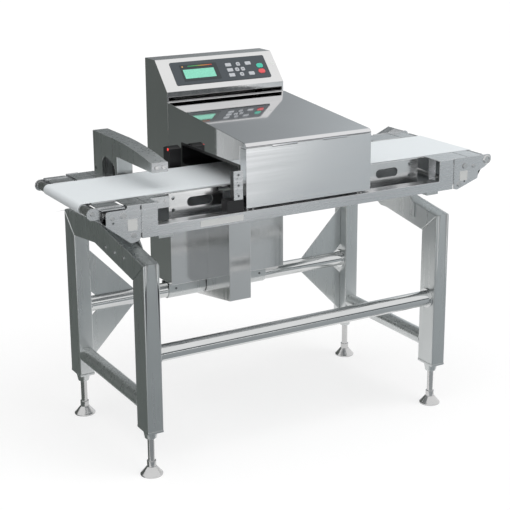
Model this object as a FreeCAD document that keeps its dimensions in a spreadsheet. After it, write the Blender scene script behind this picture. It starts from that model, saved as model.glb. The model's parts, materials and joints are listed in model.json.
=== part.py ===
import FreeCAD, Part
import math
import os
import re
import Sketcher

# Conveyor metal detector: a belt conveyor that carries products through the aperture of a
# detector head, on a stainless tube stand, with the control cabinet behind the head.
# Millimetres, +X along the belt, +Y to the back, +Z up. The origin is on the floor, in the
# middle of the machine. Heights and lengths below are given with y = 0 on the belt's centre
# line; every sub-part's Placement then moves it back to the middle of the machine.

# Sizes that stand by themselves
sizes = {
    # stand
    "stand_span": 1000, "front_leg_y": -173, "rear_leg_y": 324,
    "tube_wide": 49, "tube_deep": 75, "tube_wall": 3, "tube_round": 4,
    "leg_bottom_z": 139, "base_plate": 8, "boss_drop": 25, "boss_top_r": 22, "boss_tip_r": 17,
    "crown_y": 130, "crown_down": 120, "front_shoulder_down": 55, "rear_shoulder_down": 25,
    "side_tube_up": 73, "stretcher_z": 364, "round_tube_r": 24.3, "round_tube_wall": 2.5,
    "flange_r": 31, "flange_thick": 5,
    "gusset_reach": 160, "gusset_rise": 165, "gusset_notch": 28, "gusset_thick": 4,
    # levelling feet
    "pad_r": 33, "pad_rim": 4, "pad_high": 26, "pad_top_r": 14, "collar_r": 13.5, "collar_high": 17,
    "foot_screw_r": 10, "foot_screw_long": 147, "running_gap": 0.05,
    # conveyor frame
    "deck_z": 816, "rail_face_y": 218, "sheet": 3, "rail_half": 527, "rail_deep": 94, "rail_low_deep": 64,
    "flange_wide": 40, "riser_left_long": 47, "riser_right_long": 52, "riser_cover_left": 27,
    "riser_cover_right": 111, "belt_edge_gap": 6.5, "tongue_out": 14, "tongue_inset": 14, "plate_gap": 4,
    "plate_rise": 1.5, "plate_shelf": 38, "plate_tail_in": 27, "plate_sill": 15, "sheet_round": 8,
    "lobe_round": 12, "lobe_drop": 22, "cover_gap": 2, "edge_cover_left_in": 92, "edge_cover_right_in": 15,
    "support_thick": 4, "support_deep": 44, "cross_plate": 5, "cross_gap": 5, "cross_inset": 6,
    "support_bolt_down": 66, "support_bolt_pitch": 63, "support_bolt_y": -17, "support_web_low": 84,
    "support_web_front": 228, "support_web_back": 40,
    # belt, rollers and shafts
    "belt_wide": 255, "belt_thick": 2, "belt_gap": 0.3, "end_roller_out": 131, "end_roller_r": 13.2,
    "end_roller_gap": 32, "roller_groove": 3, "roller_groove_pitch": 10, "roller_groove_in": 14,
    "roller_groove_deep": 1.5, "tip_r": 17, "return_roller_out": 25, "return_roller_up": 12,
    "return_roller_r": 11, "return_roller_past": 9.5, "idler_shaft_r": 6, "nose_neck_r": 8,
    "bearing_r": 11.5,
    "bearing_flange_r": 15, "bearing_proud": 4, "bearing_end_gap": 4,
    # take-up at the infeed end
    "takeup_in": 25, "takeup_arm_long": 87, "takeup_lid_down": 2, "takeup_lug_up": 4,
    # slider beds
    "bed_side_out": 12.5, "bed_sheet": 2.5, "bed_side_gap": 5, "bed_end_gap": 24, "bed_head_gap": 5,
    "left_bed_long": 205, "right_bed_long": 220, "bed_slot_high": 27, "bed_slot_long": 81,
    "bed_slot_down": 34,
    "left_slot_in": 107, "right_slot_in": 103, "bed_hole_r": 5, "bed_hole_down": 17, "bed_hole_pitch": 35,
    "left_hole_in": 191, "right_hole_in": 188, "clip_wide": 14, "clip_in": 34, "clip_deep": 12,
    "bracket_wide": 62, "bracket_foot_wide": 26, "bracket_out": 20, "bracket_step_down": 35,
    # drive behind the outfeed end
    "motor_in": 83, "motor_down": 87.5, "motor_r": 34, "motor_long": 95, "gearbox_wide": 70,
    "gearbox_long": 36,
    "motor_pulley_r": 16, "nose_pulley_r": 11, "pulley_flange": 2, "pulley_flange_rise": 2.5,
    "drive_band": 2, "drive_band_wide": 12, "motor_shaft_r": 6, "guard_gap": 1, "guard_deep": 39,
    "guard_sheet": 1.2, "guard_peak_in": 35, "guard_peak_up": 13, "guard_round": 20, "guard_left_in": 112,
    "guard_bottom_down": 128,
    # detector head
    "head_left_x": -199, "head_right_x": 224, "head_setback": 10.5, "head_wall": 2.5, "skirt_gap": 5,
    "belly_gap": 13, "belly_side_gap": 10, "cover_high": 171.5, "cover_seam": 1.5, "cover_sheet": 1.5,
    "cover_deep": 35.5, "lip_high": 11.5, "lip_r": 11, "head_rise": 42.5, "leg_setback": 3.5,
    "side_step": 2, "hinge_count": 5, "knuckle_r": 1.6, "hinge_pin_r": 0.9, "knuckle_gap": 0.5,
    "aperture_high": 53, "aperture_front_gap": 37.5, "aperture_back_gap": 58.5, "liner_wall": 3.7,
    "liner_floor": 16, "liner_lip": 3, "liner_lip_thick": 2, "liner_fit": 0.1, "coil_section": 12,
    "coil_wide": 14,
    "coil_pitch": 72,
    # control cabinet
    "cabinet_right_x": 220, "cabinet_forward": 39, "cabinet_deep": 155, "cabinet_seat": 0.7,
    "cabinet_above_head": 121, "cabinet_sheet": 2, "panel_tilt": 47, "panel_slope": 121.7,
    "cabinet_round": 7,
    "head_cabinet_gap": 0.5, "cable_slot_high": 12, "cable_slot_up": 3, "cable_slot_inset": 5,
    "rear_opening_rim": 14, "rear_cover_lap": 6, "rear_cover_round": 6,
    "board_wide": 240, "board_high": 200, "board_thick": 1.6, "board_gap": 8, "board_up": 311,
    "supply_wide": 130, "supply_high": 170, "supply_deep": 60,
    # control panel, measured up its slope
    "panel_left_in": 43, "panel_right_in": 36, "panel_low": 20, "panel_high": 86, "panel_thick": 2,
    "panel_round": 5, "display_in": 37, "display_wide": 109, "display_up": 21, "display_high": 34,
    "display_sunk": 1, "display_round": 1.5,
    "key_proud": 1.2, "key_deep": 4, "key_gap": 0.3, "key_wide": 21, "key_high": 13, "key_round": 2.5,
    "arrow_key": 14, "arrow_round": 4.5, "oval_wide": 24, "oval_high": 17, "oval_round": 8,
    "bar_column_in": 139, "arrow_column_in": 103, "last_column_in": 67, "oval_column_in": 27.5,
    "arrow_spread": 10.5, "top_row": 59.3, "middle_row": 39.2, "bottom_row": 19.8, "start_row": 46.5,
    "stop_row": 25,
    # pedestal and saddles
    "pedestal_left_x": -68, "pedestal_right_x": 9, "pedestal_forward": 149, "pedestal_front_down": 9,
    "pedestal_back_down": 52, "pedestal_foot_deep": 115, "pedestal_sheet": 2, "pedestal_rail_gap": 2,
    "pedestal_neck_gap": 6, "saddle_left_in": 4, "saddle_right_in": 62, "saddle_sheet": 3, "saddle_gap": 2,
    # sensors
    "sensor_plate_out": 12, "sensor_plate_wide": 29, "sensor_plate_up": 54, "sensor_plate_down": 30,
    "sensor_hole_r": 2, "sensor_body_deep": 24, "sensor_body_gap": 3, "sensor_base_wide": 52,
    "sensor_base_deep": 36, "rear_sensor_out": 20, "rear_sensor_wide": 40, "rear_sensor_deep": 42,
    "rear_sensor_bevel": 20,
    # arm
    "arm_out": 238, "arm_wide": 50, "arm_column_deep": 176, "arm_back_out": 101, "arm_back_up": 102,
    "arm_bend_in": 260, "arm_bend_r": 1500, "arm_tip_y": -93, "arm_tip_up": 77, "arm_under_up": 50,
    "arm_sheet": 2, "arm_plate": 4,
    "arch_front_in": 17, "arch_back_in": 64, "arch_drop": 4, "arch_round": 30, "arch_step": 26,
    "arm_post_r": 15, "arm_post_high": 78, "arm_post_in": 55,
    "seat_gap": 0.3, "overrun": 60, "cut_past": 1, "screw_head": 3.5, "small_screw_r": 5, "screw_r": 6,
    "large_screw_r": 9,
}

# Places and sizes that follow from those
fits = {
    "crown_z": "deck_z - crown_down", "front_shoulder_z": "crown_z - front_shoulder_down",
    "rear_shoulder_z": "crown_z - rear_shoulder_down", "beam_depth": "tube_deep",
    "side_tube_z": "leg_bottom_z + side_tube_up", "collar_top_z": "pad_high + collar_high",
    "foot_screw_top_z": "collar_top_z + foot_screw_long",
    "belt_half": "belt_wide / 2", "rail_bottom_z": "deck_z - rail_deep",
    "rail_low_z": "deck_z - rail_low_deep",
    "riser_left_x": "-(rail_half - riser_left_long)", "riser_right_x": "rail_half - riser_right_long",
    "riser_cover_left_x": "riser_left_x - riser_cover_left",
    "riser_cover_right_x": "riser_right_x + riser_cover_right",
    "flange_inner_y": "rail_face_y - flange_wide", "cover_inner_y": "belt_half + belt_edge_gap",
    "plate_near_x": "rail_half + plate_gap", "plate_top_z": "deck_z + plate_rise",
    "cross_half_y": "rail_face_y - cross_inset", "support_top_z": "rail_bottom_z - cross_plate - cross_gap",
    "support_bolt_z": "crown_z - support_bolt_down",
    "end_roller_x": "rail_half + end_roller_out", "end_roller_half": "rail_face_y - end_roller_gap",
    "end_roller_z": "deck_z - belt_thick - belt_gap - end_roller_r",
    "return_roller_x": "rail_half + return_roller_out",
    "return_roller_z": "rail_bottom_z + return_roller_up",
    "return_roller_half": "belt_half + return_roller_past", "slide_top_z": "deck_z - belt_thick - belt_gap",
    "bed_side_y": "belt_half + bed_side_out", "bed_side_bottom_z": "rail_bottom_z + bed_side_gap",
    "bed_end_x": "end_roller_x - bed_end_gap", "left_bed_head_x": "head_left_x - bed_head_gap",
    "right_bed_head_x": "head_right_x + bed_head_gap", "left_bed_side_x": "left_bed_head_x - left_bed_long",
    "right_bed_side_x": "right_bed_head_x + right_bed_long", "bed_slot_z": "deck_z - bed_slot_down",
    "left_slot_x": "left_bed_head_x - left_slot_in", "right_slot_x": "right_bed_head_x + right_slot_in",
    "left_hole_x": "left_bed_head_x - left_hole_in", "right_hole_x": "right_bed_head_x + right_hole_in",
    "bed_hole_high_z": "deck_z - bed_hole_down", "bed_hole_low_z": "bed_hole_high_z - bed_hole_pitch",
    "motor_x": "end_roller_x - motor_in", "motor_z": "end_roller_z - motor_down",
    "guard_front_y": "rail_face_y + guard_gap", "guard_back_y": "guard_front_y + guard_deep",
    "pulley_y": "(guard_front_y + guard_back_y) / 2", "guard_peak_x": "end_roller_x - guard_peak_in",
    "guard_peak_z": "deck_z + guard_peak_up", "guard_left_in_x": "end_roller_x - guard_left_in",
    "guard_bottom_z": "deck_z - guard_bottom_down",
    "head_front_y": "-(rail_face_y - head_setback)", "front_leg_y_face": "head_front_y + leg_setback",
    "head_skirt_z": "rail_low_z + skirt_gap", "head_belly_z": "rail_bottom_z + belly_gap",
    "belly_half_y": "flange_inner_y - belly_side_gap", "cover_top_z": "head_skirt_z + cover_high",
    "lip_bottom_z": "cover_top_z + cover_seam", "head_front_z": "lip_bottom_z + lip_high",
    "head_back_z": "head_front_z + head_rise", "hinge_y": "head_front_y + knuckle_r",
    "hinge_z": "cover_top_z - knuckle_r + cover_seam / 2", "cover_flange_y": "head_front_y + cover_deep",
    "aperture_front_y": "-(belt_half + aperture_front_gap)",
    "aperture_back_y": "belt_half + aperture_back_gap",
    "aperture_top_z": "deck_z + aperture_high", "cabinet_front_y": "rear_leg_y - cabinet_forward",
    "head_back_y": "cabinet_front_y - head_cabinet_gap", "cabinet_back_y": "cabinet_front_y + cabinet_deep",
    "cabinet_bottom_z": "stretcher_z + round_tube_r + cabinet_seat",
    "cabinet_top_z": "head_back_z + cabinet_above_head",
    "panel_foot_z": "cabinet_top_z - panel_slope * sin(panel_tilt)",
    "panel_shelf_y": "cabinet_front_y + panel_slope * cos(panel_tilt)",
    "panel_left_x": "head_left_x + panel_left_in", "panel_right_x": "cabinet_right_x - panel_right_in",
    "display_left_x": "panel_left_x + display_in",
    "pedestal_front_y": "cabinet_front_y - pedestal_forward",
    "pedestal_front_z": "stretcher_z - pedestal_front_down",
    "pedestal_back_z": "stretcher_z - pedestal_back_down",
    "pedestal_back_y": "cabinet_front_y + pedestal_foot_deep",
    "saddle_left_x": "head_left_x - saddle_left_in", "saddle_right_x": "cabinet_right_x - saddle_right_in",
    "arm_left_x": "head_left_x - arm_out", "arm_back_y": "rail_face_y + arm_back_out",
    "arm_column_front_y": "arm_back_y - arm_column_deep", "arm_back_z": "deck_z + arm_back_up",
    "arm_bend_y": "arm_back_y - arm_bend_in",
    "arm_tip_z": "deck_z + arm_tip_up", "arm_under_z": "deck_z + arm_under_up",
    "arch_front_y": "arm_column_front_y + arch_front_in", "arch_back_y": "arm_back_y - arch_back_in",
    "arch_top_z": "arm_under_z - arch_drop",
    "belt_line_y": "(rail_face_y + bearing_proud - cabinet_back_y - cabinet_sheet - screw_head) / 2",
}

doc = FreeCAD.newDocument("conveyor_metal_detector")
sheet = doc.addObject("Spreadsheet::Sheet", "Sizes")
for row, (alias, content) in enumerate({**sizes, **fits}.items(), start=1):
    sheet.set(f"A{row}", alias)
    sheet.set(f"B{row}", f"={content}" if alias in fits else str(content))
    sheet.setAlias(f"B{row}", alias)
doc.recompute()

nodes = {}


def bound(text):
    """An expression with the sheet's name put before each of its aliases."""
    names = sizes.keys() | fits.keys()
    return re.sub(r"[a-z_]+", lambda word: ("Sizes." if word.group() in names else "") + word.group(),
                  str(text))


def value(text):
    """What an expression comes to with the sheet's present numbers."""
    return float(sheet.evalExpression(bound(text)))


def bind(thing, **properties):
    for name, text in properties.items():
        thing.setExpression(name.replace("__", "."), bound(text))
    return thing


def keep(label, *solids):
    """A finished sub-part: its solids under one label, placed from the belt's centre line."""
    node = doc.addObject("Part::Compound", label)
    node.Links = list(solids)
    node.Label = label
    bind(node, Placement__Base__y="belt_line_y")
    nodes[label] = node
    return node


# ---- solids

def box(x_low, x_high, y_low, y_high, z_low, z_high):
    solid = doc.addObject("Part::Box", "Block")
    return bind(solid, Length=f"({x_high}) - ({x_low})", Width=f"({y_high}) - ({y_low})",
                Height=f"({z_high}) - ({z_low})", Placement__Base__x=x_low, Placement__Base__y=y_low,
                Placement__Base__z=z_low)


turns = {"x": (FreeCAD.Vector(0, 1, 0), 90), "y": (FreeCAD.Vector(1, 0, 0), -90),
         "z": (FreeCAD.Vector(0, 0, 1), 0)}


def place(solid, axis, x, y, z):
    """Turns a solid made along Z to lie along an axis, from the given point."""
    solid.Placement = FreeCAD.Placement(FreeCAD.Vector(), FreeCAD.Rotation(*turns[axis]))
    return bind(solid, Placement__Base__x=x, Placement__Base__y=y, Placement__Base__z=z)


def rod(axis, x, y, z, radius, length):
    return place(bind(doc.addObject("Part::Cylinder", "Rod"), Radius=radius, Height=length), axis, x, y, z)


def hexagon(axis, x, y, z, radius, length):
    head = doc.addObject("Part::Prism", "Hexagon")
    head.Polygon = 6
    return place(bind(head, Circumradius=radius, Height=length), axis, x, y, z)


def cut(base, *tools):
    result = doc.addObject("Part::Cut", "Cut")
    result.Base = base
    result.Tool = tools[0] if len(tools) == 1 else fuse(*tools)
    return result


def fuse(*solids):
    result = doc.addObject("Part::MultiFuse", "Fusion")
    result.Shapes = list(solids)
    result.Refine = True
    return result


def mirror(solid, normal):
    result = doc.addObject("Part::Mirroring", "Mirrored")
    result.Source = solid
    result.Normal = FreeCAD.Vector(*normal)
    return result


def pipe(axis, x, y, z, radius, wall, length):
    return cut(rod(axis, x, y, z, radius, length), rod(axis, x, y, z, f"{radius} - {wall}", length))


# ---- sketches: corners are (x, y) or (x, y, radius); holes (x, y, radius); slots (x, y, long, high)

planes = {"xy": "XY_Plane", "xz": "XZ_Plane", "yz": "YZ_Plane"}


def new_sketch(body, plane, offset):
    drawing = body.newObject("Sketcher::SketchObject", body.Name + "Sketch")
    origin_plane = [o for o in body.Origin.OriginFeatures if o.Role == planes[plane]][0]
    drawing.AttachmentSupport = [(origin_plane, "")]
    drawing.MapMode = "FlatFace"
    return bind(drawing, AttachmentOffset__Base__z=offset)


def fix_point(drawing, geometry, point, x, y):
    """Holds a sketch point at two expressions, measured from the sketch's origin."""
    for kind, text in (("DistanceX", x), ("DistanceY", y)):
        index = drawing.addConstraint(Sketcher.Constraint(kind, -1, 1, geometry, point, value(text)))
        drawing.setExpression(f"Constraints[{index}]", bound(text))


def fix_radius(drawing, geometry, radius):
    index = drawing.addConstraint(Sketcher.Constraint("Radius", geometry, value(radius)))
    drawing.setExpression(f"Constraints[{index}]", bound(radius))


def draw_outline(drawing, corners):
    """A closed outline of straight edges, with tangent arcs at the corners that give a radius."""
    spots = [FreeCAD.Vector(value(c[0]), value(c[1]), 0) for c in corners]
    count = len(corners)
    entry, leave, arcs = [], [], {}
    for i, corner in enumerate(corners):
        back = (spots[i - 1] - spots[i]).normalize()
        ahead = (spots[(i + 1) % count] - spots[i]).normalize()
        if len(corner) == 2:
            entry.append(spots[i])
            leave.append(spots[i])
            continue
        radius = value(corner[2])
        half = back.getAngle(ahead) / 2
        entry.append(spots[i] + back * (radius / math.tan(half)))
        leave.append(spots[i] + ahead * (radius / math.tan(half)))
        centre = spots[i] + (back + ahead).normalize() * (radius / math.sin(half))
        arcs[i] = (centre, radius, back.cross(ahead).z < 0)
    lines = [drawing.addGeometry(Part.LineSegment(leave[i], entry[(i + 1) % count]),
                                 False) for i in range(count)]
    for i, corner in enumerate(corners):
        before, after = lines[i - 1], lines[i]
        if i not in arcs:
            drawing.addConstraint(Sketcher.Constraint("Coincident", before, 2, after, 1))
            fix_point(drawing, after, 1, corner[0], corner[1])
            continue
        centre, radius, left_turn = arcs[i]
        first, last = (entry[i], leave[i]) if left_turn else (leave[i], entry[i])
        start = math.atan2(first.y - centre.y, first.x - centre.x)
        end = math.atan2(last.y - centre.y, last.x - centre.x)
        circle = Part.Circle(centre, FreeCAD.Vector(0, 0, 1), radius)
        arc = drawing.addGeometry(Part.ArcOfCircle(circle, start, end), False)
        point = drawing.addGeometry(Part.Point(spots[i]), True)
        drawing.addConstraint(Sketcher.Constraint("Tangent", before, 2, arc, 1 if left_turn else 2))
        drawing.addConstraint(Sketcher.Constraint("Tangent", arc, 2 if left_turn else 1, after, 1))
        drawing.addConstraint(Sketcher.Constraint("PointOnObject", point, 1, before))
        drawing.addConstraint(Sketcher.Constraint("PointOnObject", point, 1, after))
        fix_radius(drawing, arc, corner[2])
        fix_point(drawing, point, 1, corner[0], corner[1])


def draw_hole(drawing, x, y, radius):
    circle = Part.Circle(FreeCAD.Vector(value(x), value(y), 0), FreeCAD.Vector(0, 0, 1), value(radius))
    hole = drawing.addGeometry(circle, False)
    fix_radius(drawing, hole, radius)
    fix_point(drawing, hole, 3, x, y)


def draw_slot(drawing, x, y, long, high):
    """A slot with round ends, lying along the sketch's first axis."""
    radius = value(high) / 2
    reach = value(long) / 2 - radius
    up = FreeCAD.Vector(0, 0, 1)
    middle = FreeCAD.Vector(value(x), value(y), 0)
    left, right = middle - FreeCAD.Vector(reach, 0, 0), middle + FreeCAD.Vector(reach, 0, 0)
    rise = FreeCAD.Vector(0, radius, 0)
    half_turn = math.pi / 2
    low = drawing.addGeometry(Part.LineSegment(left - rise, right - rise), False)
    right_end = drawing.addGeometry(Part.ArcOfCircle(Part.Circle(right, up, radius), -half_turn, half_turn),
                                    False)
    top = drawing.addGeometry(Part.LineSegment(right + rise, left + rise), False)
    left_end = drawing.addGeometry(Part.ArcOfCircle(Part.Circle(left, up, radius), half_turn,
                                                    3 * half_turn), False)
    for one, other in ((low, right_end), (right_end, top), (top, left_end), (left_end, low)):
        drawing.addConstraint(Sketcher.Constraint("Tangent", one, 2, other, 1))
    for end, sign in ((right_end, "+"), (left_end, "-")):
        fix_radius(drawing, end, f"({high}) / 2")
        fix_point(drawing, end, 3, f"{x} {sign} (({long}) - ({high})) / 2", y)


def plate(plane, low, high, corners, holes=(), slots=()):
    """A body padded from one outline, between two heights along its plane's axis."""
    body = doc.addObject("PartDesign::Body", "Plate")
    drawing = new_sketch(body, plane, f"-({high})" if plane == "xz" else low)
    draw_outline(drawing, corners)
    for hole in holes:
        draw_hole(drawing, *hole)
    for slot in slots:
        draw_slot(drawing, *slot)
    pad = body.newObject("PartDesign::Pad", body.Name + "Pad")
    pad.Profile = drawing
    bind(pad, Length=f"({high}) - ({low})")
    return body


def turned(corners):
    """A body turned about Z from corners given as (radius, height)."""
    body = doc.addObject("PartDesign::Body", "Turned")
    drawing = new_sketch(body, "xz", "0")
    draw_outline(drawing, corners)
    spin = body.newObject("PartDesign::Revolution", body.Name + "Revolution")
    spin.Profile = drawing
    spin.ReferenceAxis = (drawing, ["V_Axis"])
    spin.Angle = 360
    return body


def rectangle(x_low, x_high, y_low, y_high, radius=None):
    corners = [(x_low, y_low), (x_high, y_low), (x_high, y_high), (x_low, y_high)]
    return corners if radius is None else [(x, y, radius) for x, y in corners]


def band(circles, gap, thick, y_low, y_high):
    """An endless band round circles given as (x, z, radius), counter-clockwise, all inside it."""
    wires = []
    for extra in (gap, gap + thick):
        rings = [(FreeCAD.Vector(x, 0, z), radius + extra) for x, z, radius in circles]
        normals = []
        for (here, here_r), (there, there_r) in zip(rings, rings[1:] + rings[:1]):
            along = there - here
            share = (here_r - there_r) / along.Length
            along.normalize()
            outward = FreeCAD.Vector(along.z, 0, -along.x)
            normals.append(along * share + outward * math.sqrt(1 - share * share))
        edges = []
        for i, (centre, radius) in enumerate(rings):
            start = math.atan2(normals[i - 1].z, normals[i - 1].x)
            sweep = (math.atan2(normals[i].z, normals[i].x) - start) % (2 * math.pi)
            middle = FreeCAD.Vector(math.cos(start + sweep / 2), 0, math.sin(start + sweep / 2))
            following, following_r = rings[(i + 1) % len(rings)]
            edges.append(Part.Arc(centre + normals[i - 1] * radius, centre + middle * radius,
                                  centre + normals[i] * radius).toShape())
            edges.append(Part.makeLine(centre + normals[i] * radius, following + normals[i] * following_r))
        wires.append(Part.Wire(edges))
    face = Part.Face(wires[1]).cut(Part.Face(wires[0]))
    solid = doc.addObject("Part::Feature", "Band")
    solid.Shape = face.extrude(FreeCAD.Vector(0, y_high - y_low, 0)).Solids[0]
    solid.Placement = FreeCAD.Placement(FreeCAD.Vector(0, y_low, 0), FreeCAD.Rotation())
    return solid


# ---- lines that several sub-parts share

front_rise = "((crown_z - front_shoulder_z) / (crown_y - front_leg_y + tube_deep / 2))"
rear_fall = "((crown_z - rear_shoulder_z) / (rear_leg_y + tube_deep / 2 - crown_y))"
front_out, front_in = "(front_leg_y - tube_deep / 2)", "(front_leg_y + tube_deep / 2)"
rear_in, rear_out = "(rear_leg_y - tube_deep / 2)", "(rear_leg_y + tube_deep / 2)"
post_inner_x = "(stand_span / 2 - tube_wide / 2)"
sides = {"left": "-1", "right": "1"}


# ---- stand

def long_edges(shape, x_low, x_high):
    """Names of a tube blank's long edges: straight, on a side face and longer than the tube is deep."""
    names = []
    for number, edge in enumerate(shape.Edges, start=1):
        box_of = edge.BoundBox
        on_side = box_of.XLength < 1e-6 and min(abs(box_of.XMin - x_low), abs(box_of.XMin - x_high)) < 1e-6
        if on_side and edge.Length > 1.2 * value("tube_deep"):
            names.append(f"Edge{number}")
    return names


def rounded(body, x_low, x_high):
    """Rounds the long edges of a padded tube blank."""
    doc.recompute()
    pad = body.Tip
    fillet = body.newObject("PartDesign::Fillet", body.Name + "Round")
    fillet.Base = (pad, long_edges(pad.Shape, value(x_low), value(x_high)))
    bind(fillet, Radius="tube_round")
    return body


def leg_frame(side):
    """Two posts, the sloping top beam mitred to them, the side tube, sockets and rear gussets."""
    sign = sides[side]
    x_low = f"({sign} * stand_span / 2 - tube_wide / 2)"
    x_high = f"({sign} * stand_span / 2 + tube_wide / 2)"
    bore_low, bore_high = f"{x_low} + tube_wall", f"{x_high} - tube_wall"
    front_throat = f"front_shoulder_z + {front_rise} * tube_deep - beam_depth"
    rear_throat = f"rear_shoulder_z + {rear_fall} * tube_deep - beam_depth"
    foot_z = "leg_bottom_z + base_plate"

    def post(y_out, y_in, shoulder, throat):
        blank = plate("yz", x_low, x_high, [(y_out, foot_z), (y_in, foot_z), (y_in, throat),
                                            (y_out, shoulder)])
        middle = f"(({y_out}) + ({y_in})) / 2"
        bore = rectangle(f"{middle} - tube_deep / 2 + tube_wall", f"{middle} + tube_deep / 2 - tube_wall",
                         f"{foot_z} - cut_past", f"{shoulder} + overrun")
        return cut(rounded(blank, x_low, x_high), plate("yz", bore_low, bore_high, bore))

    front_post = post(front_out, front_in, "front_shoulder_z", front_throat)
    rear_post = post(rear_out, rear_in, "rear_shoulder_z", rear_throat)
    beam = plate("yz", x_low, x_high, [
        (front_out, "front_shoulder_z"), (front_in, front_throat), ("crown_y", "crown_z - beam_depth"),
        (rear_in, rear_throat), (rear_out, "rear_shoulder_z"), ("crown_y", "crown_z")])
    front_end = f"front_shoulder_z - overrun * {front_rise}"
    rear_end = f"rear_shoulder_z - overrun * {rear_fall}"
    beam_bore = plate("yz", bore_low, bore_high, [
        (f"{front_out} - overrun", f"{front_end} - beam_depth + tube_wall"),
        ("crown_y", "crown_z - beam_depth + tube_wall"),
        (f"{rear_out} + overrun", f"{rear_end} - beam_depth + tube_wall"),
        (f"{rear_out} + overrun", f"{rear_end} - tube_wall"), ("crown_y", "crown_z - tube_wall"),
        (f"{front_out} - overrun", f"{front_end} - tube_wall")])
    side_tube = pipe("y", f"{sign} * stand_span / 2", front_in, "side_tube_z", "round_tube_r",
                     "round_tube_wall", f"{rear_in} - {front_in}")
    sockets = []
    for leg_y in ("front_leg_y", "rear_leg_y"):
        socket = turned([("foot_screw_r + running_gap", "leg_bottom_z - boss_drop"),
                         ("boss_tip_r", "leg_bottom_z - boss_drop"), ("boss_top_r", "leg_bottom_z"),
                         ("foot_screw_r + running_gap", "leg_bottom_z")])
        bind(socket, Placement__Base__x=f"{sign} * stand_span / 2", Placement__Base__y=leg_y)
        slab = box(x_low, x_high, f"{leg_y} - tube_deep / 2", f"{leg_y} + tube_deep / 2", "leg_bottom_z",
                   foot_z)
        hole = rod("z", f"{sign} * stand_span / 2", leg_y, "leg_bottom_z", "foot_screw_r + running_gap",
                   "base_plate")
        sockets.append(fuse(socket, cut(slab, hole)))
    gussets = []
    for up in ("1", "-1"):
        corner = f"stretcher_z + {up} * round_tube_r"
        gussets.append(plate("xz", "rear_leg_y - gusset_thick / 2", "rear_leg_y + gusset_thick / 2", [
            (f"{sign} * {post_inner_x}", f"{corner} + {up} * gusset_notch"),
            (f"{sign} * {post_inner_x}", f"{corner} + {up} * gusset_rise"),
            (f"{sign} * ({post_inner_x} - gusset_reach)", corner),
            (f"{sign} * ({post_inner_x} - gusset_notch)", corner)]))
    keep(f"{side}_leg_frame", front_post, rear_post, cut(rounded(beam, x_low, x_high), beam_bore),
         side_tube,
         *sockets, *gussets)


def stretchers():
    """Round tubes between the leg frames, each with a welded flange at both ends."""
    tubes = []
    for leg_y in ("front_leg_y", "rear_leg_y"):
        start = f"-{post_inner_x}"
        tube = pipe("x", start, leg_y, "stretcher_z", "round_tube_r", "round_tube_wall",
                    f"2 * {post_inner_x}")
        rings = [pipe("x", x, leg_y, "stretcher_z", "flange_r", "(flange_r - round_tube_r)", "flange_thick")
                 for x in (start, f"{post_inner_x} - flange_thick")]
        tubes.append(fuse(tube, *rings))
    keep("stretchers", *tubes)


def foot(name, sign, leg_y):
    """A levelling foot: a bell-shaped pad, and a screw with a collar that stands on it."""
    pad = turned([("0", "0"), ("pad_r", "0"), ("pad_r", "pad_rim"), ("pad_r - pad_rim", "2 * pad_rim"),
                  ("pad_top_r + pad_rim / 2", "pad_high - pad_rim / 2"), ("pad_top_r", "pad_high"),
                  ("0", "pad_high")])
    screw = turned([("0", "pad_high"), ("collar_r", "pad_high"), ("collar_r", "collar_top_z"),
                    ("foot_screw_r", "collar_top_z"), ("foot_screw_r", "foot_screw_top_z"),
                    ("0", "foot_screw_top_z")])
    for solid in (pad, screw):
        bind(solid, Placement__Base__x=f"{sign} * stand_span / 2", Placement__Base__y=leg_y)
    keep(name, pad, screw)


def conveyor_supports():
    """On each leg frame, a plate bolted to the beam that carries a cross plate under the rails."""
    solids = []
    for sign in sides.values():
        inner, outer = f"{post_inner_x} - support_thick", post_inner_x
        low, high = (inner, outer) if sign == "1" else (f"-({outer})", f"-({inner})")
        low_z = "crown_z - support_web_low"
        front_y, back_y = "crown_y - support_web_front", "crown_y + support_web_back"
        web = plate("yz", low, high, [
            (front_y, low_z), (f"{back_y} - support_deep * 2", low_z), (back_y, f"{low_z} + support_deep"),
            (back_y, "support_top_z"), (f"{front_y} + support_deep", "support_top_z"),
            (f"{front_y} + support_deep", f"{low_z} + 2 * support_deep"),
            (front_y, f"{low_z} + support_deep")])
        deep = f"{post_inner_x} - support_deep"
        low, high = (deep, outer) if sign == "1" else (f"-({outer})", f"-({deep})")
        cross = box(low, high, "-cross_half_y", "cross_half_y", "support_top_z",
                    "support_top_z + cross_plate")
        pads = [box(low, high, y_low, y_high, "support_top_z + cross_plate", "rail_bottom_z")
                for y_low, y_high in (("-cross_half_y", "-flange_inner_y - sheet"),
                                      ("flange_inner_y + sheet", "cross_half_y"))]
        solids.append(fuse(web, cross, *pads))
    keep("conveyor_supports", *solids)


# ---- conveyor frame

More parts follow.
